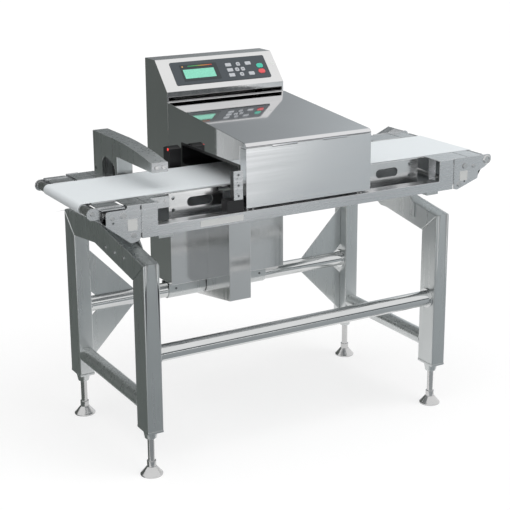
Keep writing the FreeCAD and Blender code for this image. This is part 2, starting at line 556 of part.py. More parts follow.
def rails():
    """A folded channel on each side, low in the middle and with a high riser at each end."""
    outer, inner = "-rail_face_y", "-rail_face_y + sheet"
    web = plate("xz", outer, inner, [
        ("-rail_half", "rail_bottom_z"), ("rail_half", "rail_bottom_z"), ("rail_half", "deck_z"),
        ("riser_right_x", "deck_z"), ("riser_right_x", "rail_low_z"), ("riser_left_x", "rail_low_z"),
        ("riser_left_x", "deck_z"), ("-rail_half", "deck_z")])
    lips = [
        box("-rail_half", "rail_half", inner, "-flange_inner_y", "rail_bottom_z", "rail_bottom_z + sheet"),
        box("riser_left_x", "riser_right_x", inner, "-flange_inner_y", "rail_low_z - sheet", "rail_low_z"),
        box("riser_cover_left_x", "riser_left_x", inner, "-cover_inner_y", "deck_z - sheet", "deck_z"),
        box("riser_right_x", "riser_cover_right_x", inner, "-cover_inner_y", "deck_z - sheet", "deck_z")]
    tongues = [box(low, high, inner, f"{inner} + sheet", "rail_bottom_z + tongue_inset",
                   "deck_z - tongue_inset")
               for low, high in (("-rail_half - tongue_out", "-rail_half + tongue_out"),
                                 ("rail_half - tongue_out", "rail_half + tongue_out"))]
    front = fuse(web, *lips, *tongues)
    keep("front_rail", front)
    keep("rear_rail", mirror(front, (0, 1, 0)))


def end_plates():
    """The plates that carry the rollers at each end, notched at the infeed for the take-up."""
    axle = "idler_shaft_r + running_gap"
    notch_z, sill_z = "deck_z - sheet_round", "rail_low_z + plate_sill"
    tail_x = "-end_roller_x + plate_tail_in"
    left = plate("xz", "-rail_face_y", "-rail_face_y + sheet", [
        ("-plate_near_x", "plate_top_z"), ("-plate_near_x - plate_shelf", "plate_top_z"),
        ("-plate_near_x - plate_shelf", notch_z, "sheet_round - cut_past"),
        (tail_x, notch_z, "sheet_round"),
        (tail_x, sill_z), ("-return_roller_x - sheet_round", "return_roller_z - lobe_drop", "lobe_round"),
        ("-return_roller_x + lobe_round", "return_roller_z - lobe_drop + plate_gap", "lobe_round"),
        ("-plate_near_x", "rail_bottom_z + cover_gap")],
        [("-return_roller_x", "return_roller_z", axle)])
    tip_x = "end_roller_x"
    right = plate("xz", "-rail_face_y", "-rail_face_y + sheet", [
        ("plate_near_x", "rail_bottom_z"),
        ("return_roller_x - sheet_round", "return_roller_z - return_roller_up - bearing_proud",
         "lobe_round"),
        (f"{tip_x} - bearing_flange_r * 2.3", "rail_low_z - belly_gap / 2", "bearing_proud"),
        (f"{tip_x} - bearing_flange_r * 2.1", "rail_low_z + tip_r", "bearing_proud"),
        (f"{tip_x} - tip_r * 0.6", "rail_low_z + tip_r + sheet_round", "sheet_round"),
        (f"{tip_x} + tip_r", "end_roller_z - bearing_proud * 1.5", "lobe_round"),
        (f"{tip_x} + tip_r", "plate_top_z", "lobe_round"), ("plate_near_x", "plate_top_z")],
        [("return_roller_x", "return_roller_z", axle), (tip_x, "end_roller_z", "bearing_r + running_gap")])
    keep("front_left_end_plate", left)
    keep("rear_left_end_plate", mirror(left, (0, 1, 0)))
    keep("front_right_end_plate", right)
    keep("rear_right_end_plate", mirror(right, (0, 1, 0)))


def slider_bed(name, sign, side_end_x, head_x, slot_x, hole_x):
    """A folded tray: the sheet that the belt slides on, with a slotted side down each edge."""
    inner = "bed_side_y - bed_sheet"
    end_x = f"{sign} * bed_end_x"
    left = sign == "-1"
    low, high = (end_x, side_end_x) if left else (side_end_x, end_x)
    tongue = box(low, high, "-cover_inner_y + cut_past", "cover_inner_y - cut_past",
                 "slide_top_z - bed_sheet",
                 "slide_top_z")
    low, high = (side_end_x, head_x) if left else (head_x, side_end_x)
    top_sheet = box(low, high, f"-({inner})", inner, "slide_top_z - bed_sheet", "slide_top_z")
    clip_x, clip_z = f"{high} - clip_in", "slide_top_z - clip_deep"
    notched = [(high, "bed_side_bottom_z + clip_deep * 2.5"), (high, "bed_side_bottom_z"),
               (low, "bed_side_bottom_z"), (low, "slide_top_z", "sheet * 2"), (f"{clip_x} - clip_wide",
                                                                               "slide_top_z"),
               (f"{clip_x} - clip_wide", clip_z, "sheet"), (clip_x, clip_z, "sheet"),
               (clip_x, "bed_side_bottom_z + clip_deep * 3.5")]
    plain = rectangle(low, high, "bed_side_bottom_z", "slide_top_z")
    holes = [(hole_x, "bed_hole_high_z", "bed_hole_r"), (hole_x, "bed_hole_low_z", "bed_hole_r")]
    slots = [(slot_x, "bed_slot_z", "bed_slot_long", "bed_slot_high")]
    front = plate("xz", "-bed_side_y", f"-({inner})", notched if left else plain, holes, slots)
    rear = plate("xz", "-bed_side_y", f"-({inner})", plain, holes, slots)
    keep(name, fuse(tongue, top_sheet, front, mirror(rear, (0, 1, 0))))


def edge_covers():
    """Plates that close the gap beside the belt over each pair of end plates."""
    solids = []
    for low, high in (("-end_roller_x + edge_cover_left_in", "riser_cover_left_x - cover_gap"),
                      ("riser_cover_right_x + cover_gap", "end_roller_x - edge_cover_right_in")):
        for y_low, y_high in (("-rail_face_y + sheet", "-cover_inner_y"),
                              ("cover_inner_y", "rail_face_y - sheet")):
            solids.append(box(low, high, y_low, y_high, "deck_z - sheet", "deck_z"))
    keep("edge_covers", *solids)


def bed_brackets():
    """Folded brackets that carry the slider beds from the rails."""
    solids = []
    top, front_y = "deck_z - sheet", "-(bed_side_y + bracket_out)"
    for low, wide, rear in (("riser_left_x + cover_gap", "bracket_wide", False),
                            ("riser_left_x + cover_gap", "bracket_foot_wide", True),
                            ("riser_right_x + sheet", "bracket_foot_wide", False),
                            ("riser_right_x + sheet", "bracket_foot_wide", True)):
        high, foot_high = f"{low} + {wide}", f"{low} + bracket_foot_wide"
        upper = box(low, high, front_y, f"{front_y} + sheet", "deck_z - bracket_step_down", top)
        leg = box(low, foot_high, front_y, f"{front_y} + sheet", "rail_bottom_z + sheet",
                  "deck_z - bracket_step_down")
        shelf = box(low, high, f"{front_y} + sheet", "-cover_inner_y - cut_past", f"{top} - sheet", top)
        lip = box(low, foot_high, "-flange_inner_y - lobe_round", front_y, "rail_bottom_z + sheet",
                  "rail_bottom_z + 2 * sheet")
        bracket = fuse(upper, leg, shelf, lip)
        solids.append(mirror(bracket, (0, 1, 0)) if rear else bracket)
    keep("bed_brackets", *solids)


# ---- belt and rollers

def takeup():
    """The sliding end of the infeed: a channel each side, and the dead shaft that joins them."""
    web_y, edge_y = "-rail_face_y + takeup_in", "-rail_face_y + sheet + seat_gap"
    inner_x, tip_x = "-end_roller_x + takeup_arm_long", "-end_roller_x - tip_r"
    foot_x, arm_z = "-end_roller_x + tip_r + sheet_round", "rail_low_z + tip_r - cut_past"
    lug_x, lid_top = f"{inner_x} - 2 * tip_r", "deck_z - takeup_lid_down"
    web = plate("xz", web_y, f"{web_y} + sheet", [
        (tip_x, "end_roller_z - tip_r", "tip_r - cut_past"),
        ("-end_roller_x + tip_r", "end_roller_z - tip_r"), (foot_x, arm_z, "bearing_proud"),
        (lug_x, arm_z, "bearing_proud"), (f"{inner_x} - tip_r - lobe_round / 2",
                                          "bed_hole_high_z - lobe_round"),
        (inner_x, "bed_hole_high_z", "sheet_round - cut_past"),
        (inner_x, "end_roller_z + tip_r - cut_past", "sheet_round - cut_past"),
        (tip_x, "end_roller_z + tip_r - cut_past", "tip_r - cut_past")],
        [("-end_roller_x", "end_roller_z", "idler_shaft_r + running_gap")])
    lid = box("-end_roller_x + tip_r + cut_past", f"{inner_x} - sheet", edge_y, "-cover_inner_y - sheet",
              f"{lid_top} - sheet", lid_top)
    ledge = box(foot_x, lug_x, edge_y, f"{web_y} + sheet", arm_z, f"{arm_z} + sheet")
    lug = box(f"{lug_x} - sheet", lug_x, f"{edge_y} + takeup_lug_up", f"{web_y} + sheet", arm_z,
              f"{lid_top} - sheet - takeup_lug_up")
    bracket = fuse(web, lid, ledge, lug)
    keep("takeup_brackets", bracket, mirror(bracket, (0, 1, 0)))
    half = "(rail_face_y - takeup_in + bearing_proud)"
    keep("tail_shaft", rod("y", "-end_roller_x", f"-{half}", "end_roller_z", "idler_shaft_r",
                           f"2 * {half}"))


def end_roller():
    """Outer corners of a steel roller with ring grooves outside the belt's edges."""
    corners = [("end_roller_r", "-end_roller_half")]
    for side, order in (("-", (0, 1, 2)), ("", (2, 1, 0))):
        for step in order:
            middle = f"{side}(end_roller_half - roller_groove_in - {step} * roller_groove_pitch)"
            low, high = f"{middle} - roller_groove / 2", f"{middle} + roller_groove / 2"
            depth = "end_roller_r - roller_groove_deep"
            corners += [("end_roller_r", low), (depth, low), (depth, high), ("end_roller_r", high)]
    return corners + [("end_roller_r", "end_roller_half")]


def rollers():
    bore = "idler_shaft_r + running_gap"
    tail = turned([(bore, "-end_roller_half")] + end_roller() + [(bore, "end_roller_half")])
    keep("tail_roller", place(tail, "y", "-end_roller_x", "0", "end_roller_z"))
    front_end = "-rail_face_y - bearing_proud / 2"
    back_end = "pulley_y + drive_band_wide / 2 + pulley_flange + bearing_proud"
    nose = turned([("0", front_end), ("nose_neck_r", front_end), ("nose_neck_r", "-end_roller_half")]
                  + end_roller() + [("nose_neck_r", "end_roller_half"), ("nose_neck_r", back_end),
                                    ("0", back_end)])
    keep("nose_roller", place(nose, "y", "end_roller_x", "0", "end_roller_z"))
    for side, sign in sides.items():
        idler = turned([(bore, "-return_roller_half"), ("return_roller_r", "-return_roller_half"),
                        ("return_roller_r", "return_roller_half"), (bore, "return_roller_half")])
        keep(f"return_roller_{side}", place(idler, "y", f"{sign} * return_roller_x", "0",
                                            "return_roller_z"))
    keep("return_shafts", *[rod("y", f"{sign} * return_roller_x", "-rail_face_y", "return_roller_z",
                                "idler_shaft_r", "2 * rail_face_y") for sign in sides.values()])


def nose_bearings():
    """Flanged bearings of the driven roller, one in each end plate."""
    bore = "nose_neck_r + running_gap"
    rim = "bearing_flange_r - bearing_proud * 0.75"
    inner, face = "-end_roller_half - bearing_end_gap", "-rail_face_y"
    front = turned([(bore, f"{face} - bearing_proud"), (rim, f"{face} - bearing_proud"),
                    ("bearing_flange_r", face), ("bearing_r", face), ("bearing_r", inner), (bore, inner)])
    keep("nose_bearings", place(front, "y", "end_roller_x", "0", "end_roller_z"),
         mirror(place(turned([(bore, f"{face} - bearing_proud"), (rim, f"{face} - bearing_proud"),
                              ("bearing_flange_r", face), ("bearing_r", face), ("bearing_r", inner),
                              (bore, inner)]), "y", "end_roller_x", "0", "end_roller_z"), (0, 1, 0)))


def conveyor_belt():
    """The endless belt round the end rollers and the two return rollers."""
    end_x, end_z, end_r = value("end_roller_x"), value("end_roller_z"), value("end_roller_r")
    low_x, low_z, low_r = value("return_roller_x"), value("return_roller_z"), value("return_roller_r")
    circles = [(end_x, end_z, end_r), (-end_x, end_z, end_r), (-low_x, low_z, low_r), (low_x, low_z, low_r)]
    half = value("belt_half")
    keep("conveyor_belt", band(circles, value("belt_gap"), value("belt_thick"), -half, half))


# ---- drive

def pulley(radius, bore, shaft=None):
    """A flanged pulley about Z, centred on its height, bored or on a shaft of its own."""
    half = "(drive_band_wide + cut_past) / 2"
    rim = f"{half} + pulley_flange"
    wide = f"{radius} + pulley_flange_rise"
    corners = [(wide, f"-({rim})"), (wide, f"-{half}"), (radius, f"-{half}"), (radius, half), (wide, half),
               (wide, rim)]
    if shaft is None:
        return turned([(bore, f"-({rim})")] + corners + [(bore, rim)])
    shaft_end = "guard_deep / 2 + gearbox_long / 2"
    return turned([("0", f"-({rim})")] + corners + [(shaft, rim), (shaft, shaft_end), ("0", shaft_end)])


def guard_outline(inset):
    """Corners of the guard round both pulleys, drawn in by the given amount."""
    return [(f"guard_left_in_x + {inset}", f"guard_bottom_z + {inset}"),
            (f"motor_x + motor_r * 0.8 - {inset} / 2", f"guard_bottom_z + {inset}"),
            (f"end_roller_x + tip_r - {inset}", f"end_roller_z - tip_r + {inset} / 2"),
            (f"end_roller_x + tip_r - {inset}", f"deck_z - bearing_proud - {inset}"),
            ("guard_peak_x", f"guard_peak_z - {inset}"),
            (f"guard_left_in_x + {inset}", f"deck_z - guard_round - {inset}")]


def drive():
    """Gear motor behind the outfeed end, and the toothed-belt drive to the nose roller in its guard."""
    bored = pulley("nose_pulley_r", "nose_neck_r + running_gap")
    keep("nose_pulley", place(bored, "y", "end_roller_x", "pulley_y", "end_roller_z"))
    driving = pulley("motor_pulley_r", "0", "motor_shaft_r")
    keep("motor_pulley", place(driving, "y", "motor_x", "pulley_y", "motor_z"))
    circles = [(value("end_roller_x"), value("end_roller_z"), value("nose_pulley_r")),
               (value("motor_x"), value("motor_z"), value("motor_pulley_r"))]
    middle, half = value("pulley_y"), value("drive_band_wide") / 2
    keep("drive_belt", band(circles, value("belt_gap"), value("drive_band"), middle - half, middle + half))
    shell = plate("xz", "guard_front_y", "guard_back_y", guard_outline("0"))
    hollow = plate("xz", "guard_front_y + guard_sheet", "guard_back_y - guard_sheet",
                   guard_outline("guard_sheet"))
    through = "guard_sheet + 2 * cut_past"
    front_hole = rod("y", "end_roller_x", "guard_front_y - cut_past", "end_roller_z",
                     "bearing_flange_r + seat_gap",
                     through)
    back_hole = rod("y", "motor_x", "guard_back_y - guard_sheet - cut_past", "motor_z",
                    "motor_shaft_r + sheet", through)
    keep("drive_guard", cut(shell, hollow, front_hole, back_hole))
    half = "gearbox_wide / 2"
    gearbox = plate("xz", "guard_back_y", "guard_back_y + gearbox_long", rectangle(
        f"motor_x - {half}", f"motor_x + {half}", f"motor_z - {half}", f"motor_z + {half}",
        "motor_shaft_r"))
    can = rod("y", "motor_x", "guard_back_y + gearbox_long", "motor_z", "motor_r", "motor_long")
    bore = rod("y", "motor_x", "guard_back_y - cut_past", "motor_z", "motor_shaft_r + running_gap",
               "gearbox_long - bearing_proud")
    keep("gear_motor", cut(fuse(gearbox, can), bore))


# ---- detector head

def knuckles(first, low_z, high_z):
    """Every other rolled knuckle of the cover's hinge, on a tab of sheet between two heights."""
    pieces = []
    pitch = "((head_right_x - head_left_x) / hinge_count)"
    for step in range(first, int(value("hinge_count")), 2):
        low = f"head_left_x + {step} * {pitch} + knuckle_gap / 2"
        long = f"{pitch} - knuckle_gap"
        pieces.append(rod("x", low, "hinge_y", "hinge_z", "knuckle_r", long))
        pieces.append(box(low, f"{low} + {long}", "head_front_y", "head_front_y + cover_sheet", low_z,
                          high_z))
    return pieces


def head():
    """The folded shell of the head round the aperture, its liner, coils and hinged front cover."""
    slope = "((head_back_z - head_front_z) / (head_back_y - head_front_y))"
    wall, past = "head_wall", "cut_past"
    shell = plate("yz", "head_left_x", "head_right_x", [
        ("head_back_y", "head_skirt_z"), ("head_back_y", "head_back_z"), ("head_front_y", "head_front_z",
                                                                          "lip_r"),
        ("head_front_y", "lip_bottom_z"), ("front_leg_y_face", "lip_bottom_z"),
        ("front_leg_y_face", "head_skirt_z"), ("-belly_half_y", "head_skirt_z"),
        ("-belly_half_y", "head_belly_z"),
        ("belly_half_y", "head_belly_z"), ("belly_half_y", "head_skirt_z")])
    hollow = plate("yz", f"head_left_x + {wall}", f"head_right_x - {wall}", [
        (f"head_back_y - {wall}", f"head_skirt_z + {wall}"), (f"head_back_y - {wall}",
                                                              f"head_back_z - {wall}"),
        (f"front_leg_y_face + {wall}",
         f"head_front_z + {slope} * (front_leg_y_face - head_front_y) - {wall}"),
        (f"front_leg_y_face + {wall}", f"head_skirt_z + {wall}"), (f"-belly_half_y + {wall}",
                                                                   f"head_skirt_z + {wall}"),
        (f"-belly_half_y + {wall}", f"head_belly_z + {wall}"), (f"belly_half_y - {wall}",
                                                                f"head_belly_z + {wall}"),
        (f"belly_half_y - {wall}", f"head_skirt_z + {wall}")])
    low_y, high_y = "aperture_front_y - liner_wall", "aperture_back_y + liner_wall"
    low_z, high_z = "slide_top_z - liner_floor", "aperture_top_z + liner_wall"
    window = box(f"head_left_x - {past}", f"head_right_x + {past}", low_y, high_y, low_z, high_z)
    steps = [box(x_low, x_high, f"front_leg_y_face - {past}", "cover_flange_y + cover_seam",
                 f"head_skirt_z - {past}",
                 "lip_bottom_z")
             for x_low, x_high in ((f"head_left_x - {past}", "head_left_x + side_step"),
                                   ("head_right_x - side_step", f"head_right_x + {past}"))]
    pin_hole = rod("x", "head_left_x", "hinge_y", "hinge_z", "hinge_pin_r + running_gap",
                   "head_right_x - head_left_x")
    hinge_half = knuckles(1, "hinge_z", "lip_bottom_z + cut_past")
    keep("head_shell", cut(fuse(cut(shell, hollow, window, *steps), *hinge_half), pin_hole))
    fit = "liner_fit"
    sleeve = box("head_left_x", "head_right_x", f"{low_y} + {fit}", f"{high_y} - {fit}", f"{low_z} + {fit}",
                 f"{high_z} - {fit}")
    lips = [box(x_low, x_high, f"{low_y} - liner_lip", f"{high_y} + liner_lip", f"{low_z} + {fit}",
                f"{high_z} + liner_lip")
            for x_low, x_high in (("head_left_x - liner_lip_thick", "head_left_x"),
                                  ("head_right_x", "head_right_x + liner_lip_thick"))]
    passage = box("head_left_x - bed_head_gap", "head_right_x + bed_head_gap", "aperture_front_y",
                  "aperture_back_y",
                  "slide_top_z", "aperture_top_z")
    keep("tunnel_liner", cut(fuse(sleeve, *lips), passage))
    coils = []
    for step in (-1, 0, 1):
        middle = f"(head_left_x + head_right_x) / 2 + {step} * coil_pitch"
        x_low, x_high = f"{middle} - coil_wide / 2", f"{middle} + coil_wide / 2"
        bulk = box(x_low, x_high, f"{low_y} - seat_gap - coil_section",
                   f"{high_y} + seat_gap + coil_section",
                   f"{low_z} - seat_gap - coil_section", f"{high_z} + seat_gap + coil_section")
        hole = box(f"{x_low} - {past}", f"{x_high} + {past}", f"{low_y} - seat_gap", f"{high_y} + seat_gap",
                   f"{low_z} - seat_gap", f"{high_z} + seat_gap")
        coils.append(cut(bulk, hole))
    keep("search_coils", *coils)
    tray = box("head_left_x", "head_right_x", "head_front_y", "cover_flange_y", "head_skirt_z",
               "hinge_z - knuckle_r - knuckle_gap")
    hollow = box("head_left_x + cover_sheet", "head_right_x - cover_sheet", "head_front_y + cover_sheet",
                 f"cover_flange_y + {past}", f"head_skirt_z - {past}", "lip_bottom_z")
    hinge_half = knuckles(0, "hinge_z - cover_deep", "hinge_z")
    bore = rod("x", "head_left_x", "hinge_y", "hinge_z", "hinge_pin_r + running_gap",
               "head_right_x - head_left_x")
    keep("head_front_cover", cut(fuse(cut(tray, hollow), *hinge_half), bore))


def pedestal():
    """The box section that carries the head from below and hooks round the rear stretcher."""
    tube_clear = "(round_tube_r + seat_gap)"
    wall = "pedestal_sheet"
    neck_y, neck_z = "flange_inner_y - pedestal_neck_gap", "rail_bottom_z - pedestal_rail_gap"
    foot_top_z, heel_y = "cabinet_bottom_z - seat_gap", "cabinet_front_y - seat_gap"
    outline = [("pedestal_front_y", "pedestal_front_z"), ("pedestal_back_y", "pedestal_back_z"),
               ("pedestal_back_y", foot_top_z), (heel_y, foot_top_z), (heel_y, neck_z), (neck_y, neck_z),
               (neck_y, "head_belly_z"), ("pedestal_front_y", "head_belly_z")]
    inner = [(f"pedestal_front_y + {wall}", f"pedestal_front_z + {wall}"),
             (f"pedestal_back_y - {wall}", f"pedestal_back_z + {wall}"),
             (f"pedestal_back_y - {wall}", f"{foot_top_z} - {wall}"),
             (f"{heel_y} - {wall}", f"{foot_top_z} - {wall}"),
             (f"{heel_y} - {wall}", f"{neck_z} - {wall}"), (f"{neck_y} - {wall}", f"{neck_z} - {wall}"),
             (f"{neck_y} - {wall}", "head_belly_z + cut_past"), (f"pedestal_front_y + {wall}",
                                                                 "head_belly_z + cut_past")]
    shell = plate("yz", "pedestal_left_x", "pedestal_right_x", outline)
    hollow = plate("yz", f"pedestal_left_x + {wall}", f"pedestal_right_x - {wall}", inner)
    seat = rod("x", "pedestal_left_x - cut_past", "rear_leg_y", "stretcher_z", tube_clear,
               "pedestal_right_x - pedestal_left_x + 2 * cut_past")
    slot = box("pedestal_left_x - cut_past", "pedestal_right_x + cut_past", f"rear_leg_y - {tube_clear}",
               f"rear_leg_y + {tube_clear}", "stretcher_z", "cabinet_bottom_z")
    keep("head_pedestal", cut(shell, hollow, seat, slot))


# ---- control cabinet

def cabinet():
    """The folded cabinet with its sloping panel face, and the cover screwed to its back."""
    wall, past = "cabinet_sheet", "cut_past"
    outline = [("cabinet_front_y", "cabinet_bottom_z"), ("cabinet_back_y", "cabinet_bottom_z"),
               ("cabinet_back_y", "cabinet_top_z"), ("panel_shelf_y", "cabinet_top_z", "cabinet_round"),
               ("cabinet_front_y", "panel_foot_z", wall)]
    inner = [(f"cabinet_front_y + {wall}", f"cabinet_bottom_z + {wall}"),
             (f"cabinet_back_y - {wall}", f"cabinet_bottom_z + {wall}"),
             (f"cabinet_back_y - {wall}", f"cabinet_top_z - {wall}"),
             (f"panel_shelf_y + {wall} * tan(panel_tilt / 2)", f"cabinet_top_z - {wall}"),
             (f"cabinet_front_y + {wall}", f"panel_foot_z - {wall} * tan(45 - panel_tilt / 2)")]
    shell = plate("yz", "head_left_x", "cabinet_right_x", outline)
    hollow = plate("yz", f"head_left_x + {wall}", f"cabinet_right_x - {wall}", inner)
    rim = "rear_opening_rim"
    opening = box(f"head_left_x + {rim}", f"cabinet_right_x - {rim}", f"cabinet_back_y - {wall} - {past}",
                  f"cabinet_back_y + {past}", f"cabinet_bottom_z + {rim}", f"cabinet_top_z - {rim}")
    slot_z = "head_back_z + cable_slot_up"
    cable_slot = box("head_left_x + cable_slot_inset", "cabinet_right_x - cable_slot_inset",
                     f"cabinet_front_y - {past}",
                     f"cabinet_front_y + {wall} + {past}", slot_z, f"{slot_z} + cable_slot_high")
    margin = "sheet * 2"
    window = plate("xy", f"-{margin}", margin, rectangle(
        f"panel_left_x + {margin}", f"panel_right_x - {margin}", f"panel_low + {margin}",
        f"panel_low + panel_high - {margin}"))
    keep("cabinet_shell", cut(shell, hollow, opening, cable_slot, on_panel(window)))
    lap = "rear_cover_lap"
    keep("cabinet_rear_cover", plate("xz", "cabinet_back_y", f"cabinet_back_y + {wall}", rectangle(
        f"head_left_x + {lap}", f"cabinet_right_x - {lap}", f"cabinet_bottom_z + {lap}",
        f"cabinet_top_z - {lap}",
        "rear_cover_round")))
    board_y = f"cabinet_front_y + {wall} + board_gap"
    middle = "(head_left_x + cabinet_right_x) / 2"
    left, right = f"{middle} - board_wide / 2", f"{middle} + board_wide / 2"
    bottom, top = "cabinet_bottom_z + board_up", "cabinet_bottom_z + board_up + board_high"
    board = box(left, right, board_y, f"{board_y} + board_thick", bottom, top)
    posts = [rod("y", x, f"cabinet_front_y + {wall}", z, "board_gap / 2", "board_gap")
             for x in (f"{left} + 10", f"{right} - 10") for z in (f"{bottom} + 10", f"{top} - 10")]
    supply = box(f"{left} - 30", f"{left} - 30 + supply_wide",
                 f"cabinet_back_y - {wall} - supply_deep - 30",
                 f"cabinet_back_y - {wall} - 30", f"cabinet_bottom_z + {wall}",
                 f"cabinet_bottom_z + {wall} + supply_high")
    keep("electronics", fuse(board, *posts), supply)


def on_panel(solid):
    """Lays a solid made flat, with its second axis up the slope, on the cabinet's panel face."""
    solid.Placement = FreeCAD.Placement(FreeCAD.Vector(), FreeCAD.Rotation(FreeCAD.Vector(1, 0, 0),
                                                                           value("panel_tilt")))
    return bind(solid, Placement__Base__y="cabinet_front_y", Placement__Base__z="panel_foot_z",
                Placement__Rotation__Angle="panel_tilt")


key_shapes = {"bar": ("key_wide", "key_high", "key_round"), "arrow": ("arrow_key", "arrow_key",
                                                                      "arrow_round"),
              "oval": ("oval_wide", "oval_high", "oval_round")}
key_plan = {
    "key_menu": ("bar_column_in", "top_row", "bar"), "key_set": ("bar_column_in", "middle_row", "bar"),
    "key_enter": ("bar_column_in", "bottom_row", "bar"), "key_up": ("arrow_column_in", "top_row", "arrow"),
    "key_left": ("(arrow_column_in + arrow_spread)", "middle_row", "arrow"),
    "key_right": ("(arrow_column_in - arrow_spread)", "middle_row", "arrow"),
    "key_down": ("arrow_column_in", "bottom_row", "arrow"), "key_test": ("last_column_in", "top_row",
                                                                         "bar"),
    "key_reset": ("last_column_in", "bottom_row", "bar"), "key_start": ("oval_column_in", "start_row",
                                                                        "oval"),
    "key_stop": ("oval_column_in", "stop_row", "oval")}


def key_outline(column_in, row, shape, extra="0"):
    wide, high, radius = key_shapes[shape]
    x, y = f"panel_right_x - {column_in}", f"panel_low + {row}"
    return rectangle(f"{x} - ({wide}) / 2 - {extra}", f"{x} + ({wide}) / 2 + {extra}",
                     f"{y} - ({high}) / 2 - {extra}", f"{y} + ({high}) / 2 + {extra}", radius)


def panel():
    """The panel plate with its display window and eleven sprung keys."""
    face = plate("xy", "0", "panel_thick", rectangle(
        "panel_left_x", "panel_right_x", "panel_low", "panel_low + panel_high", "panel_round"))
    openings = [plate("xy", "-cut_past", "panel_thick + cut_past", key_outline(column_in, row, shape,
                                                                               "key_gap"))
                for column_in, row, shape in key_plan.values()]
    glass = rectangle("display_left_x", "display_left_x + display_wide", "panel_low + display_up",
                      "panel_low + display_up + display_high", "display_round")
    recess = plate("xy", "panel_thick - display_sunk", "panel_thick + cut_past", glass)
    keep("panel_plate", on_panel(cut(face, recess, *openings)))
    keep("display_window", on_panel(plate("xy", "panel_thick - display_sunk",
                                          "panel_thick - display_sunk / 5", glass)))
    for name, (column_in, row, shape) in key_plan.items():
        cap = plate("xy", "panel_thick + key_proud - key_deep", "panel_thick + key_proud",
                    key_outline(column_in, row, shape))
        keep(name, on_panel(cap))


# ---- saddles, sensors and arm

def tube_saddles():
    """Straps under the cabinet that hold it on the rear stretcher."""
    solids = []
    inner, outer = "round_tube_r + seat_gap", "round_tube_r + seat_gap + saddle_sheet"
    for low, high in (("saddle_left_x", "pedestal_left_x - saddle_gap"),
                      ("pedestal_right_x + saddle_gap", "saddle_right_x")):
        before, after = f"{low} - cut_past", f"{high} + cut_past"
        strap = fuse(rod("x", low, "rear_leg_y", "stretcher_z", outer, f"{high} - ({low})"),
                     box(low, high, f"rear_leg_y - ({outer})", f"rear_leg_y + ({outer})", "stretcher_z",
                         "cabinet_bottom_z"))
        bore = rod("x", before, "rear_leg_y", "stretcher_z", inner, f"{high} - ({low}) + 2 * cut_past")
        throat = box(before, after, f"rear_leg_y - ({inner})", f"rear_leg_y + ({inner})", "stretcher_z",
                     "cabinet_bottom_z + cut_past")
        above = box(before, after, f"rear_leg_y - ({outer}) - cut_past",
                    f"rear_leg_y + ({outer}) + cut_past",
                    "cabinet_bottom_z", "cabinet_bottom_z + overrun")
        solids.append(cut(strap, bore, throat, above))
    keep("tube_saddles", *solids)


def photo_sensors():
    """The pair of light-barrier units either side of the belt at the tunnel's mouth."""
    right_x = "head_left_x - sensor_plate_out"
    left_x = f"{right_x} - sensor_plate_wide"
    low_z, high_z = "deck_z - sensor_plate_down", "deck_z + sensor_plate_up"
    face_y = "front_leg_y_face - sheet"
    hole_x = f"{left_x} + sensor_plate_wide / 3"
    drops = ("22", "33", "54", "65")
    face = plate("xz", f"{face_y} - sheet", face_y, rectangle(left_x, right_x, low_z, high_z),
                 [(hole_x, f"{high_z} - {drop}", "sensor_hole_r") for drop in drops])
    gap = "sensor_body_gap"
    body = box(f"{left_x} + {gap}", f"{right_x} - {gap}", face_y, f"{face_y} + sensor_body_deep",
               f"{low_z} + {gap}",
               f"{high_z} - {gap}")
    base = box(f"{right_x} + {gap} - sensor_base_wide", f"{right_x} + {gap}", face_y,
               f"{face_y} + sensor_base_deep",
               "rail_low_z", low_z)
    keep("front_photo_sensor", face, body, base)
    right_x = "head_left_x - rear_sensor_out"
    back_y = "rail_face_y - rear_sensor_out"
    low_y = f"{back_y} - rear_sensor_deep"
    keep("rear_photo_sensor", plate("yz", f"{right_x} - rear_sensor_wide", right_x, [
        (low_y, "rail_low_z"), (back_y, "rail_low_z"), (back_y, f"{high_z} - sensor_body_gap"),
        (f"{back_y} - rear_sensor_bevel", f"{high_z} + sensor_body_gap"),
        (low_y, f"{high_z} - sensor_body_gap")]))


